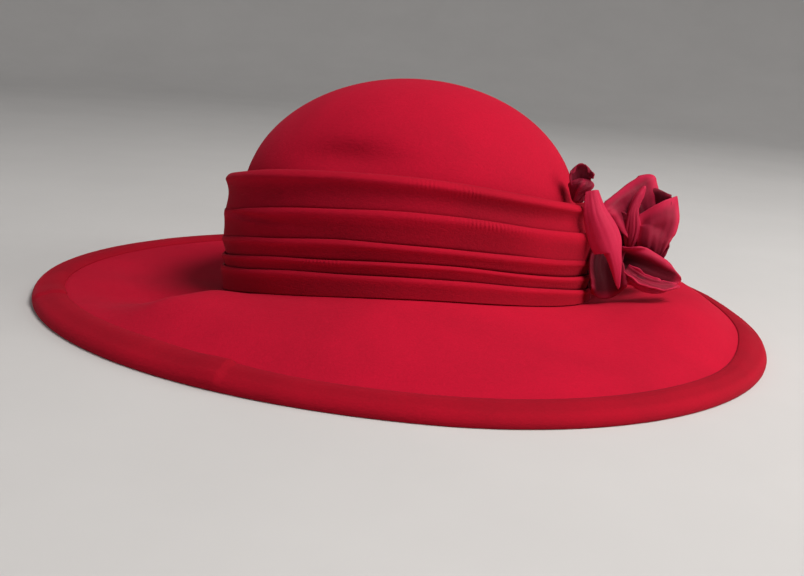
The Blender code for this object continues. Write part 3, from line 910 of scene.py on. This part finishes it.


# The rose

# Each row is a section from root to tip: place from the rose's middle as shares of the rose's size
# (out from the crown, near, up), half width as such a share, and curl in degrees. rim is how far
# the side edges roll back in degrees, and rim_start where across the sheet that begins. tip is
# how far the tip turns back, and bowl how far the middle is pushed in, as shares of the rose's size.
# light is how much of the rims' painted highlight the whole sheet takes, edge how much painted
# highlight its rims take, and painted_shade how much painted shade darkens it. Of the tip, slant is
# how far its two ends stand apart along the sheet, rounding how far both lag behind its middle, and
# loss how much of its width goes. wrinkle is the share of the usual wrinkles. torn gives where one
# side's tear starts and ends, and how much of it goes
PETAL_DEFAULTS = {
    "rim_start": 0.66, "tip": 0.0, "bowl": 0.0, "light": 0.0, "painted_shade": 0.0, "slant": 0.0,
    "rounding": 0.12, "loss": 0.62, "wrinkle": 1.0, "torn": None, "edge": 1.0,
}
PETALS = {
    "back_petal": {
        "cupped_towards": (0.35, 0.90, 0.25), "rim": 70, "tip": 0.12,
        "light": 0.15, "painted_shade": 0.15, "slant": 0.05, "rounding": 0.00,
        "rows": (
            (0.20, 0.05, 0.00, 0.26, 20),
            (0.00, 0.10, 0.35, 0.42, 34),
            (-0.15, 0.10, 0.65, 0.54, 34),
            (-0.25, 0.10, 0.83, 0.62, 22),
        ),
    },
    "core": {
        "cupped_towards": (0.20, -1.00, 0.05), "rim": 10, "light": 0.55,
        "rows": (
            (-0.10, 0.30, -0.15, 0.06, 60),
            (-0.10, 0.35, 0.20, 0.18, 80),
            (-0.10, 0.30, 0.55, 0.11, 90),
            (0.05, 0.15, 0.90, 0.09, 70),
        ),
    },
    "inner_petal": {
        "cupped_towards": (-0.25, 1.00, 0.10), "rim": 30, "tip": 0.03, "edge": 0.2, "painted_shade": 0.60,
        "rows": (
            (0.35, 0.10, 0.15, 0.22, 50),
            (0.30, 0.05, 0.45, 0.30, 60),
            (0.25, 0.00, 0.70, 0.32, 55),
            (0.20, 0.00, 0.85, 0.28, 45),
        ),
    },
    "cup_petal": {
        "cupped_towards": (-0.10, -1.00, 0.10), "rim": 30, "tip": 0.06,
        "light": 0.20, "painted_shade": 0.05, "slant": -0.14, "rounding": 0.00,
        "loss": 0.10, "bowl": 0.12,
        "rows": (
            (0.30, 0.25, -0.30, 0.20, 50),
            (0.30, 0.40, 0.05, 0.34, 62),
            (0.35, 0.40, 0.35, 0.40, 62),
            (0.30, 0.25, 0.65, 0.38, 54),
        ),
    },
    "mouth_petal": {
        "cupped_towards": (0.00, 1.00, 0.10), "rim": 150, "tip": 0.03, "rim_start": 0.46,
        "edge": 1.2, "painted_shade": 0.55,
        "rows": (
            (-0.25, 0.30, -0.30, 0.24, 60),
            (0.10, 0.45, -0.40, 0.38, 85),
            (0.45, 0.50, -0.50, 0.32, 85),
            (0.80, 0.45, -0.55, 0.15, 70),
        ),
    },
    "hollow_petal": {
        "cupped_towards": (0.15, 1.00, 0.15), "rim": 60, "tip": 0.04,
        "edge": 0.5, "painted_shade": 0.95, "loss": 0.35,
        "rows": (
            (-0.40, 0.25, -0.05, 0.28, 50),
            (-0.50, 0.40, -0.35, 0.34, 75),
            (-0.45, 0.50, -0.65, 0.36, 80),
            (-0.40, 0.55, -0.95, 0.34, 60),
        ),
    },
    "far_petal": {
        "cupped_towards": (-0.40, 0.85, 0.35), "rim": 50, "tip": 0.06, "light": 0.10, "painted_shade": 0.20,
        "rows": (
            (0.10, -0.60, -0.15, 0.20, 20),
            (0.25, -0.80, 0.00, 0.34, 45),
            (0.30, -1.00, 0.30, 0.44, 55),
            (0.30, -1.10, 0.60, 0.34, 30),
        ),
    },
    "low_far_petal": {
        "cupped_towards": (0.20, 0.35, 0.90), "rim": 50, "tip": 0.06, "light": 0.10, "painted_shade": 0.20,
        "rows": (
            (-0.20, -0.60, -0.35, 0.20, 15),
            (-0.10, -0.90, -0.45, 0.32, 35),
            (0.00, -1.20, -0.50, 0.38, 45),
            (0.05, -1.45, -0.40, 0.28, 30),
        ),
    },
}
# Cloth inside the rose that the frame leaves out, and a dark sheet behind it that stands in for
# shadow: painted shade
INNER_SHEETS = {
    "side_petal": {
        "cupped_towards": (0.10, 1.00, 0.10), "rim": 40, "tip": 0.05, "edge": 0.4, "painted_shade": 0.75,
        "rows": (
            (-0.25, 0.20, -0.10, 0.16, 40),
            (-0.40, 0.25, 0.25, 0.26, 45),
            (-0.50, 0.20, 0.50, 0.24, 35),
        ),
    },
    # A dark sheet where there is only shadow behind the rose: painted shade
    "back_shade_sheet": {
        "cupped_towards": (0.10, 1.00, 0.10), "rim": 10, "edge": 0.2, "painted_shade": 0.90,
        "rows": (
            (-0.40, 0.15, -0.90, 0.26, 30),
            (-0.50, 0.10, -0.45, 0.32, 30),
            (-0.45, 0.05, 0.05, 0.30, 30),
            (-0.40, 0.00, 0.45, 0.22, 30),
        ),
    },
    "inner_fold": {
        "cupped_towards": (0.00, 1.00, 0.30), "rim": 20, "tip": 0.02, "edge": 0.3, "painted_shade": 0.80,
        "rows": (
            (0.15, 0.10, -0.40, 0.22, 40),
            (0.25, 0.10, -0.10, 0.34, 50),
            (0.30, 0.05, 0.20, 0.30, 50),
        ),
    },
    "outer_wrap": {
        "cupped_towards": (-1.00, 0.00, 0.15), "rim": 50, "tip": 0.06,
        "light": 0.10, "edge": 0.9, "painted_shade": 0.10,
        "rows": (
            (0.05, -0.15, -0.50, 0.18, 40),
            (0.30, -0.15, -0.40, 0.32, 55),
            (0.40, -0.15, -0.10, 0.38, 60),
            (0.35, -0.25, 0.30, 0.34, 50),
        ),
    },
    "middle_wrap": {
        "cupped_towards": (-0.60, 0.80, 0.10), "rim": 55, "tip": 0.06,
        "light": 0.10, "edge": 0.9, "painted_shade": 0.10,
        "rows": (
            (0.00, -0.40, -0.45, 0.18, 40),
            (0.15, -0.60, -0.30, 0.32, 55),
            (0.20, -0.70, 0.00, 0.38, 60),
            (0.15, -0.60, 0.30, 0.34, 50),
        ),
    },
    "far_wrap": {
        "cupped_towards": (0.15, 1.00, 0.10), "rim": 50, "tip": 0.05,
        "light": 0.05, "edge": 0.9, "painted_shade": 0.10,
        "rows": (
            (-0.10, -0.45, -0.45, 0.16, 40),
            (-0.15, -0.70, -0.30, 0.30, 55),
            (-0.15, -0.75, 0.00, 0.32, 60),
            (-0.15, -0.65, 0.30, 0.28, 50),
        ),
    },
    "low_wrap": {
        "cupped_towards": (0.00, 0.20, 1.00), "rim": 50, "tip": 0.05,
        "light": 0.05, "edge": 0.9, "painted_shade": 0.15,
        "rows": (
            (0.00, -0.10, -0.50, 0.20, 20),
            (0.20, -0.30, -0.60, 0.32, 35),
            (0.40, -0.50, -0.55, 0.32, 35),
        ),
    },
    "lower_lip": {
        "cupped_towards": (0.00, 0.50, 0.90), "rim": 60, "tip": 0.02, "light": 0.25, "painted_shade": 0.10,
        "rows": (
            (-0.15, 0.50, -0.45, 0.12, 50),
            (0.15, 0.60, -0.60, 0.16, 70),
            (0.45, 0.65, -0.65, 0.15, 70),
            (0.75, 0.60, -0.60, 0.08, 50),
        ),
    },
}
# Two sheets on the neck, whose places are from the middle of its top
NECK_SHEETS = {
    # This sheet takes the rims' painted highlight all over, a lit copy of the cloth
    "drooping_petal": {
        "cupped_towards": (-0.15, -1.00, 0.00), "rim": 20,
        "light": 1.00, "torn": (0.60, 0.66, 0.62), "wrinkle": 0.35,
        "rows": (
            (0.15, 0.15, -0.05, 0.11, 40),
            (0.25, 0.30, -0.40, 0.22, 55),
            (0.45, 0.35, -0.80, 0.29, 58),
            (0.60, 0.35, -1.15, 0.19, 60),
            (0.75, 0.25, -1.60, 0.08, 40),
        ),
    },
    "bud": {
        "cupped_towards": (0.10, 1.00, 0.10), "rim": 0, "edge": 0.35, "painted_shade": 0.45, "wrinkle": 0.5,
        "rows": (
            (0.00, -0.05, 0.00, 0.16, 60),
            (-0.05, -0.05, 0.10, 0.26, 80),
            (-0.05, -0.05, 0.25, 0.28, 85),
            (-0.05, 0.00, 0.35, 0.22, 70),
        ),
    },
}
PETAL_ROWS = 50
PETAL_LINES = 41
# Shares of a sheet's length past which it narrows, turns back and takes its rims' painted highlight
TIP_START, TURN_START, TIP_HIGHLIGHT = 0.74, 0.80, 0.82
# The roll of the side edges: where along the sheet it begins and is full, by how much it varies,
# and the power by which it grows
ROLL_RISE = (0.08, 0.35)
ROLL_VARIATION = 0.3
ROLL_POWER = 1.4
# Heights of a ruffle along the edges, of wrinkles from the root and of a slow wave, as shares of the
# rose's size. The ruffle's waves: share and radians over the length. The wrinkles': share, radians
# over half the width, and radians by which they turn aside on the way up
RUFFLE, WRINKLE, SLOW_WAVE = 0.018, 0.010, 0.016
RUFFLE_WAVES = ((0.6, 17), (0.4, 31))
WRINKLE_WAVES = ((1.0, 11, 2.2), (0.7, 19, -3.0))
BOWL_PLACE, BOWL_SPREAD, BOWL_HEIGHT = 0.58, 0.45, 0.20
# Teeth of a torn edge: how long they are along the sheet, and radians of their wave over its length
TEETH = (0.03, 90)
# How much painted shade darkens a sheet at its root
ROOT_PAINTED_SHADE = 0.6
# How far before a rim's start its painted highlight begins, as a share of the rim
RIM_HIGHLIGHT_LEAD = 0.15
# A sheet's cut holds its area with this margin, and the area is at least this share of the cut
CUT_MARGIN, LEAST_AREA = 1.02, 0.31


def hat_direction(shares):
    out, near, up = shares
    return unit(np.array((out, -near, up), float))


def petal_relief(length, across, petal, phase):
    """How far the sheet is moved inwards, as a share of the rose's size.

    Its tip turns back by a square. A ruffle grows towards its edges, small wrinkles run up from the
    root, and a bowl is a bell across times a bell along.
    """
    turned = petal["tip"] * np.clip((length - TURN_START) / (1 - TURN_START), 0, 1) ** 2
    ruffle = sum(part * np.sin(count * length + shift)
                 for (part, count), shift in zip(RUFFLE_WAVES, phase[1:3]))
    wrinkle = sum(part * np.sin(count * across + shift + aside * length)
                  for (part, count, aside), shift in zip(WRINKLE_WAVES, phase[3:5]))
    wrinkle = wrinkle * (1 - length) ** 1.2 * ramp(length, 0.0, 0.15)
    wave = np.sin(5 * length + 4 * across + phase[5])
    crumple = RUFFLE * ruffle * np.abs(across) ** 3 + WRINKLE * wrinkle + SLOW_WAVE * wave
    bowl = petal["bowl"] * bell(across, BOWL_SPREAD) * bell(length - BOWL_PLACE, BOWL_HEIGHT)
    return petal["wrinkle"] * crumple + bowl - turned


def petal_grid(rows, petal, size, seed):
    """A curved sheet: sections spread along a smooth spine, each one bent across it.

    A section's heading goes from -curl to curl across it, less the rim's angle times a power of
    how far it is past the rim's start, and its points are the running sums of the heading's cosine
    and sine. Towards the tip its half width falls by sqrt(1 - loss tip^3), its edges lag behind by
    a square, and a slanted tip's ends move apart.
    """
    along = np.linspace(0, 1, PETAL_ROWS)
    across = np.linspace(-1, 1, PETAL_LINES)[None, :]
    read = through(np.linspace(0, 1, len(rows)), rows, along)
    spine, half_width, curl = read[:, :3], read[:, 3], np.radians(read[:, 4])[:, None]
    tip = np.clip((along - TIP_START) / (1 - TIP_START), 0, 1)
    half_width = (half_width * np.sqrt(1 - petal["loss"] * tip**3))[:, None]
    tangent = unit(np.gradient(spine, axis=0))
    side = unit(np.cross(tangent, hat_direction(petal["cupped_towards"])))
    inward = np.cross(side, tangent)
    length = along[:, None]
    rim_share = (np.abs(across) - petal["rim_start"]) / (1 - petal["rim_start"])
    phase = np.random.default_rng(seed).uniform(0, 2 * math.pi, 6)
    roll = math.radians(petal["rim"]) * ramp(length, *ROLL_RISE) * (
        1 + ROLL_VARIATION * np.sin(7 * length + phase[0] + across))
    heading = curl * across - roll * np.sign(across) * np.clip(rim_share, 0, 1) ** ROLL_POWER
    sideways = half_width * running_sum(np.cos(heading))
    inwards = half_width * running_sum(np.sin(heading))
    inwards = inwards + size * petal_relief(length, across, petal, phase)
    if petal["torn"]:
        start, end, gone = petal["torn"]
        teeth = TEETH[0] * np.sin(TEETH[1] * length)
        kept = 1 - gone * ramp(length + teeth, start, end)
        sideways = np.where(across < 0, sideways * kept, sideways)
    lag = size * (petal["rounding"] * across**2 * ramp(length, 0.55, 1)
                  - petal["slant"] * across * ramp(length, 0.35, 1))
    grid = (spine[:, None] + side[:, None] * sideways[..., None]
            + inward[:, None] * inwards[..., None] - tangent[:, None] * lag[..., None])
    # Painted highlight on the rolled rims and the tip, lit copies for sheets with light, and painted
    # shade that grows towards the root
    rim = np.maximum(ramp(rim_share, -RIM_HIGHLIGHT_LEAD, 0.9), ramp(length, TIP_HIGHLIGHT, 1))
    rim = np.clip(petal["edge"] * rim + petal["light"], 0, 1)
    painted_shade = np.clip(petal["painted_shade"] + ROOT_PAINTED_SHADE * (1 - length) ** 2, 0, 1)
    return grid, {"rim": rim, "painted_shade": painted_shade}


def running_sum(values):
    """Sums over the columns by the trapezoid rule, for a width of two, from the middle column."""
    step = 2 / (values.shape[1] - 1)
    sums = np.cumsum((values[:, 1:] + values[:, :-1]) / 2 * step, axis=1)
    sums = np.concatenate([np.zeros((len(values), 1)), sums], axis=1)
    return sums - sums[:, [values.shape[1] // 2]]


def sheet_uv(grid):
    """A UV map in metres, its width and its length: across by the widest steps, up by the mean."""
    up = row_lengths(grid)
    steps = np.linalg.norm(np.diff(grid, axis=1), axis=-1).max(axis=0)
    over = np.concatenate([[0], np.cumsum(steps)])
    return points_of(over[None, :], up[:, None]), over[-1], up[-1]


def add_petal(name, petal, start, form, finish, seed, node=None):
    """One sheet of the rose, which takes the place of a frame node if it has one."""
    size = form.sizes.rose_size
    petal = {**PETAL_DEFAULTS, **petal}
    rows = np.array(petal["rows"]) * (size, -size, size, size, 1)
    rows[:, :3] += start
    grid, values = petal_grid(rows, petal, size, seed)
    uv, width, length = sheet_uv(grid)
    sheet = surface("cloth_" + name, grid, uv=uv, values=values)
    give_wall(sheet, form.sizes.petal_wall, 0)
    dress(sheet, finish)
    if node:
        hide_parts(node)
    area = cloth_area(grid)
    width = max(width, area / length * CUT_MARGIN)


def cloth_area(grid):
    """Area of a grid's quads, from the cross products of their sides."""
    over, up = np.diff(grid, axis=1)[:-1], np.diff(grid, axis=0)[:, :-1]
    return float(np.linalg.norm(np.cross(over, up), axis=-1).sum())


def make_petals(form, finish):
    middle = (np.array(CALYX_LOW) + np.array(CALYX_HIGH)) / 2
    start = middle + ROSE_IN_CALYX * form.sizes.rose_size
    for seed, (name, petal) in enumerate(PETALS.items()):
        add_petal(name, petal, start, form, finish, 100 + seed, "rose_" + name)
    for seed, (name, petal) in enumerate(INNER_SHEETS.items()):
        add_petal(name, petal, start, form, finish, 150 + seed)


def neck_top():
    """Middle of the top of the neck's box, a little further back."""
    low, high = np.array(NECK_LOW), np.array(NECK_HIGH)
    return np.array(((low[0] + high[0]) / 2 + 0.0006, (low[1] + high[1]) / 2, high[2]))


def make_neck_sheets(form, finish):
    for seed, (name, sheet) in enumerate(NECK_SHEETS.items()):
        add_petal(name, sheet, neck_top(), form, finish, 200 + seed, "rose_" + name)


NECK_RADIUS = 0.0055
NECK_TWIST = math.radians(110)
NECK_LIFT = 0.0038
# Its lobes: height as a share of the radius, how many go round, and radians they turn on the way up
NECK_LOBES = ((0.15, 3, 0), (0.09, 5, 4), (0.05, 9, -5))
# How far it leans as a share of its length, and how strong the painted highlight on the second
# lobes' crests is
NECK_LEAN = 0.12
NECK_HIGHLIGHT = 0.35
# The heart's pleats: how many go round, and their depth as a share of its size
HEART_PLEATS = (14, 0.035)


def make_neck(finish):
    """A twisted bundle of cloth: lobes and finer pleats turn as it rises, widest near its top.

    Its radius is a line less a sine of the share s of the way up, times sqrt(1 - |2s - 1|^5), which
    closes both ends.
    """
    top = neck_top() + np.array((0.0, 0.0, NECK_LIFT))
    length = NECK_HIGH.z - NECK_LOW.z + NECK_LIFT
    turn = full_turn(128)[None, :]
    share = np.linspace(0, 1, 48, endpoint=False)[1:, None]
    twisted = turn - NECK_TWIST * share
    lobes = sum(height * np.cos(count * twisted + lag * share) for height, count, lag in NECK_LOBES)
    outline = (0.74 + 0.26 * share - 0.16 * np.sin(2 * math.pi * share)) * np.sqrt(
        1 - np.clip(np.abs(2 * share - 1), 0, 1) ** 5)
    radius = NECK_RADIUS * outline * (1 + lobes)
    lean = NECK_LEAN * length * (share - 1)
    grid = top + points_of(lean + radius * np.cos(turn), radius * np.sin(turn),
                           length * (share - 1))
    # Painted highlight on the second lobes' crests; painted shade over the whole neck
    _, count, lag = NECK_LOBES[1]
    rim = NECK_HIGHLIGHT * bell(np.cos(count * twisted + lag * share) - 1, 0.5)
    neck = surface("cloth_neck", grid, wrap=True, pole=top,
                   uv=strip_uv(grid, length * share[:, 0]), values={"rim": rim, "painted_shade": 0.25})
    dress(neck, finish)
    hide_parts("rose_neck")


def make_heart(finish):
    """The gathered heart that carries the petals: a flattened ball with pleats towards its poles."""
    low, high = np.array(CALYX_LOW), np.array(CALYX_HIGH)
    middle, half = (low + high) / 2, (high - low) / 2
    turn = full_turn(96)[None, :]
    tilt = np.linspace(-math.pi / 2 + 0.02, math.pi / 2, 48, endpoint=False)[:, None]
    count, depth = HEART_PLEATS
    pleats = (1 + np.cos(count * turn + 2 * np.sin(3 * tilt))) / 2
    pleats = 1 - depth * pleats * np.cos(tilt)
    ball = points_of(np.cos(tilt) * np.cos(turn), np.cos(tilt) * np.sin(turn),
                     np.sin(tilt) + 0 * turn) * pleats[..., None]
    grid = middle + half * ball
    across = np.linspace(0, math.pi * half[2], len(grid))
    # Painted shade darkens the whole heart
    heart = surface("rose_heart", grid, wrap=True, pole=middle + half * np.array((0, 0, 1)),
                    uv=strip_uv(grid, across), values={"rim": 0.0, "painted_shade": 0.8})
    dress(heart, finish)
    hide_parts("rose_calyx")


# The stage

VIEW_DISTANCE = 0.575
VIEW_ELEVATION = math.radians(16)
VIEW_PAN = math.radians(2.09)
VIEW_TILT = math.radians(1.10)
VIEW_ROLL = math.radians(5.1)
VIEW_LENS = 42.54
SENSOR_WIDTH = 36.0
FLOOR_RADIUS = 1.6
SWEEP_RADIUS = 1.2
WALL_TOP = 2.6
LIGHT_TARGET = Vector((0, 0, 0.05))
# Place, size, power and colour
LIGHTS = {
    "key_light": ((0.80, -0.55, 1.45), 0.8, 25.0, (1.0, 0.97, 0.94)),
    "fill_light": ((-1.3, -1.1, 0.8), 1.2, 2.0, (0.94, 0.96, 1.0)),
    "rim_light": ((1.5, -0.1, 0.8), 0.9, 10.0, (1.0, 0.98, 0.96)),
}
SKY_COLOR = (0.93, 0.95, 1.0, 1)
SKY_STRENGTH = 0.16


def floor_grid():
    """A pale dish turned round the upright: flat, then a quarter circle, then a wall."""
    flat = np.linspace(0.02, FLOOR_RADIUS, 10)
    bend = np.linspace(0, math.pi / 2, 20)[1:]
    radius = np.concatenate([flat, FLOOR_RADIUS + SWEEP_RADIUS * np.sin(bend),
                             [FLOOR_RADIUS + SWEEP_RADIUS]])
    height = np.concatenate([0 * flat, SWEEP_RADIUS * (1 - np.cos(bend)), [WALL_TOP]])
    turn = full_turn(96)[None, :]
    return points_of(radius[:, None] * np.cos(turn), radius[:, None] * np.sin(turn),
                     height[:, None] + 0 * turn)[::-1]


def make_floor(colors):
    floor = surface("studio_floor", floor_grid(), wrap=True, pole=(0, 0, 0))
    made, graph, shader = new_finish("Pale paper")
    grain = graph.noise(graph.object_place(), 6.0, detail=4.0, roughness=0.6)
    dark, light = shades(colors.floor, 0.97, 1.02)
    graph.feed(shader, {
        "Base Color": graph.color_mix(graph.spread(grain, 0.3, 0.7), dark, light),
        "Roughness": 0.9,
    })
    floor.data.materials.append(made)


def make_lights():
    """Round area lights that all look at the same place."""
    for name, (place, size, power, color) in LIGHTS.items():
        data = bpy.data.lights.new(name, "AREA")
        data.shape = "DISK"
        data.size = size
        data.energy = power
        data.color = color
        lamp = bpy.data.objects.new(name, data)
        lamp.location = place
        lamp.rotation_euler = (LIGHT_TARGET - Vector(place)).to_track_quat("-Z", "Y").to_euler()
        bpy.context.scene.collection.objects.link(lamp)


def make_camera(form):
    """Looks at the hat's middle from the near side, then pans, tilts and rolls."""
    data = bpy.data.cameras.new("hat_camera")
    data.sensor_fit = "HORIZONTAL"
    data.sensor_width = SENSOR_WIDTH
    data.lens = VIEW_LENS
    data.clip_start = 0.01
    back = Vector((0, -math.cos(VIEW_ELEVATION), math.sin(VIEW_ELEVATION)))
    place = Vector((form.widest_x, 0, 0)) + back * VIEW_DISTANCE
    ahead = -back
    right = ahead.cross(Vector((0, 0, 1))).normalized()
    up = right.cross(ahead)
    pan = Matrix.Rotation(VIEW_PAN, 3, up)
    ahead, right = pan @ ahead, pan @ right
    tilt = Matrix.Rotation(VIEW_TILT, 3, right)
    ahead, up = tilt @ ahead, tilt @ up
    roll_right = right * math.cos(VIEW_ROLL) + up * math.sin(VIEW_ROLL)
    roll_up = up * math.cos(VIEW_ROLL) - right * math.sin(VIEW_ROLL)
    turn = Matrix((roll_right, roll_up, -ahead)).transposed()
    camera = bpy.data.objects.new("hat_camera", data)
    camera.matrix_world = Matrix.Translation(place) @ turn.to_4x4()
    bpy.context.scene.collection.objects.link(camera)
    bpy.context.scene.camera = camera


def make_world():
    world = bpy.data.worlds.new("Soft studio")
    world.use_nodes = True
    sky = world.node_tree.nodes["Background"]
    sky.inputs["Color"].default_value = SKY_COLOR
    sky.inputs["Strength"].default_value = SKY_STRENGTH
    bpy.context.scene.world = world


# The panel's sizes and colours


def length_property(title, about, value):
    return FloatProperty(name=title, description=about, default=value, min=0.0001, unit="LENGTH",
                         subtype="DISTANCE", precision=4)


def color_property(title, about, value):
    return FloatVectorProperty(name=title, description=about, default=value, min=0, max=1, size=3,
                               subtype="COLOR")


# From the brim's widest place to its front
BRIM_FRONT = 0.2355


class HatSizes(bpy.types.PropertyGroup):
    """Sizes of the hat's pieces."""

    brim_front: length_property("Brim Front", "From the brim's widest place to its front", BRIM_FRONT)
    brim_back: length_property("Brim Back", "From the brim's widest place to its back",
                               EDGE_HIGH.x - EDGE_LOW.x - BRIM_FRONT)
    brim_half_width: length_property("Brim Half Width", "Half the brim's width", HALF_WIDTH)
    felt: length_property("Felt", "Thickness of the blocked felt", 0.0024)
    binding_width: length_property("Binding Width", "Width of the strip over the hem", 0.0165)
    binding_wall: length_property("Binding Thickness", "Thickness of the strip", 0.0012)
    crown_half_length: length_property("Crown Half Length", "Half the crown's length", 0.101)
    crown_half_width: length_property("Crown Half Width", "Half the crown's width", 0.085)
    crown_height: length_property("Crown Height", "From the junction's plane to the apex", 0.1195)
    band_height: length_property("Band Height", "Height of the draped band at the sides", 0.0595)
    band_front_gain: length_property("Band Front Gain", "Extra height at the front", 0.0055)
    band_depth: length_property("Band Depth", "How far the folds stand out", 0.0092)
    rose_size: length_property("Rose Size", "From the rose's middle to its upper tip", 0.034)
    petal_wall: length_property("Petal Thickness", "Thickness of the rose's cloth", 0.0009)


class HatColors(bpy.types.PropertyGroup):
    """Colours of the hat's pieces and of the floor."""

    felt: color_property("Felt", "Colour of the blocked felt", (0.485, 0.0045, 0.026))
    # The binding and the band are felt like the body, drawn darker to paint shade on them
    binding: color_property("Binding", "Colour of the folded strip", (0.40, 0.0038, 0.018))
    band: color_property("Band", "Colour of the draped band", (0.44, 0.004, 0.022))
    rose: color_property("Rose", "Colour of the rose's cloth", (0.25, 0.008, 0.030))
    # The rims' colour is a painted highlight
    rose_rim_highlight: color_property("Rose Rim", "Colour of the petals' rolled rims", (0.68, 0.018, 0.075))
    floor: color_property("Floor", "Colour of the floor", (0.62, 0.61, 0.60))


# Operators


class HatOperator:
    """What the hat's operators share."""

    bl_options = {"REGISTER", "UNDO"}

    @property
    def form(self):
        return HatForm(bpy.context.scene.hat_sizes)

    @property
    def colors(self):
        return bpy.context.scene.hat_colors


class HAT_OT_effects(HatOperator, bpy.types.Operator):
    """Build the shader groups that the finishes share"""

    bl_idname = "hat.effects"
    bl_label = "Build Finishes"

    def execute(self, context):
        build_nap_group()
        build_rib_group()
        build_cloth_group()
        return {"FINISHED"}


class HAT_OT_felt_body(HatOperator, bpy.types.Operator):
    """Build the blocked felt crown and brim"""

    bl_idname = "hat.felt_body"
    bl_label = "Felt Body"

    def execute(self, context):
        finish = felt_material("Blocked red felt", self.colors.felt, 950.0, 15.0, 0.00035)
        make_felt_body(self.form, finish)
        return {"FINISHED"}


class HAT_OT_edge_binding(HatOperator, bpy.types.Operator):
    """Build the folded strip over the brim's edge"""

    bl_idname = "hat.edge_binding"
    bl_label = "Edge Binding"

    def execute(self, context):
        # dark and crest paint shade on the strip and a highlight along it
        finish = felt_material("Folded red felt", self.colors.binding, 1100.0, 24.0, 0.00028,
                               dark=0.76, crest=0.45)
        make_edge_binding(self.form, finish)
        return {"FINISHED"}


class HAT_OT_draped_band(HatOperator, bpy.types.Operator):
    """Build the pleated band round the crown"""

    bl_idname = "hat.draped_band"
    bl_label = "Draped Band"

    def execute(self, context):
        # dark and crest paint shade on the pleats' planes and a highlight on their crests
        finish = felt_material("Draped red felt", self.colors.band, 1050.0, 20.0, 0.00030,
                               dark=0.62, ribs=True, crest=0.60)
        make_draped_band(self.form, finish)
        return {"FINISHED"}


class HAT_OT_rose(HatOperator, bpy.types.Operator):
    """Build the fabric rose, its neck and its bud"""

    bl_idname = "hat.rose"
    bl_label = "Fabric Rose"

    def execute(self, context):
        finish = rose_material("Dark rose cloth", self.colors.rose, self.colors.rose_rim_highlight)
        make_heart(finish)
        make_petals(self.form, finish)
        make_neck(finish)
        make_neck_sheets(self.form, finish)
        return {"FINISHED"}


class HAT_OT_stage(HatOperator, bpy.types.Operator):
    """Build the floor, the lights and the camera"""

    bl_idname = "hat.stage"
    bl_label = "Stage"

    def execute(self, context):
        make_floor(self.colors)
        make_lights()
        make_world()
        make_camera(self.form)
        context.scene.view_settings.view_transform = "Standard"
        return {"FINISHED"}


class HAT_PT_panel(bpy.types.Panel):
    """The hat's sizes, colours and pieces"""

    bl_idname = "HAT_PT_panel"
    bl_label = "Felt Dress Hat"
    bl_space_type = "VIEW_3D"
    bl_region_type = "UI"
    bl_category = "Hat"

    def draw(self, context):
        layout = self.layout
        for title, group in (("Sizes", context.scene.hat_sizes),
                             ("Colours", context.scene.hat_colors)):
            box = layout.box()
            box.label(text=title)
            for key in group.__annotations__:
                box.prop(group, key)
        for operator in OPERATORS:
            layout.operator(operator.bl_idname)


OPERATORS = (
    HAT_OT_effects,
    HAT_OT_felt_body,
    HAT_OT_edge_binding,
    HAT_OT_draped_band,
    HAT_OT_rose,
    HAT_OT_stage,
)
CLASSES = (HatSizes, HatColors, *OPERATORS, HAT_PT_panel)


def register():
    for item in CLASSES:
        bpy.utils.register_class(item)
    bpy.types.Scene.hat_sizes = PointerProperty(type=HatSizes)
    bpy.types.Scene.hat_colors = PointerProperty(type=HatColors)


def unregister():
    del bpy.types.Scene.hat_colors
    del bpy.types.Scene.hat_sizes
    for item in reversed(CLASSES):
        bpy.utils.unregister_class(item)


def main():
    register()
    bpy.ops.hat.effects()
    bpy.ops.hat.felt_body()
    bpy.ops.hat.edge_binding()
    bpy.ops.hat.draped_band()
    bpy.ops.hat.rose()
    bpy.ops.hat.stage()


if __name__ == "__main__":
    main()
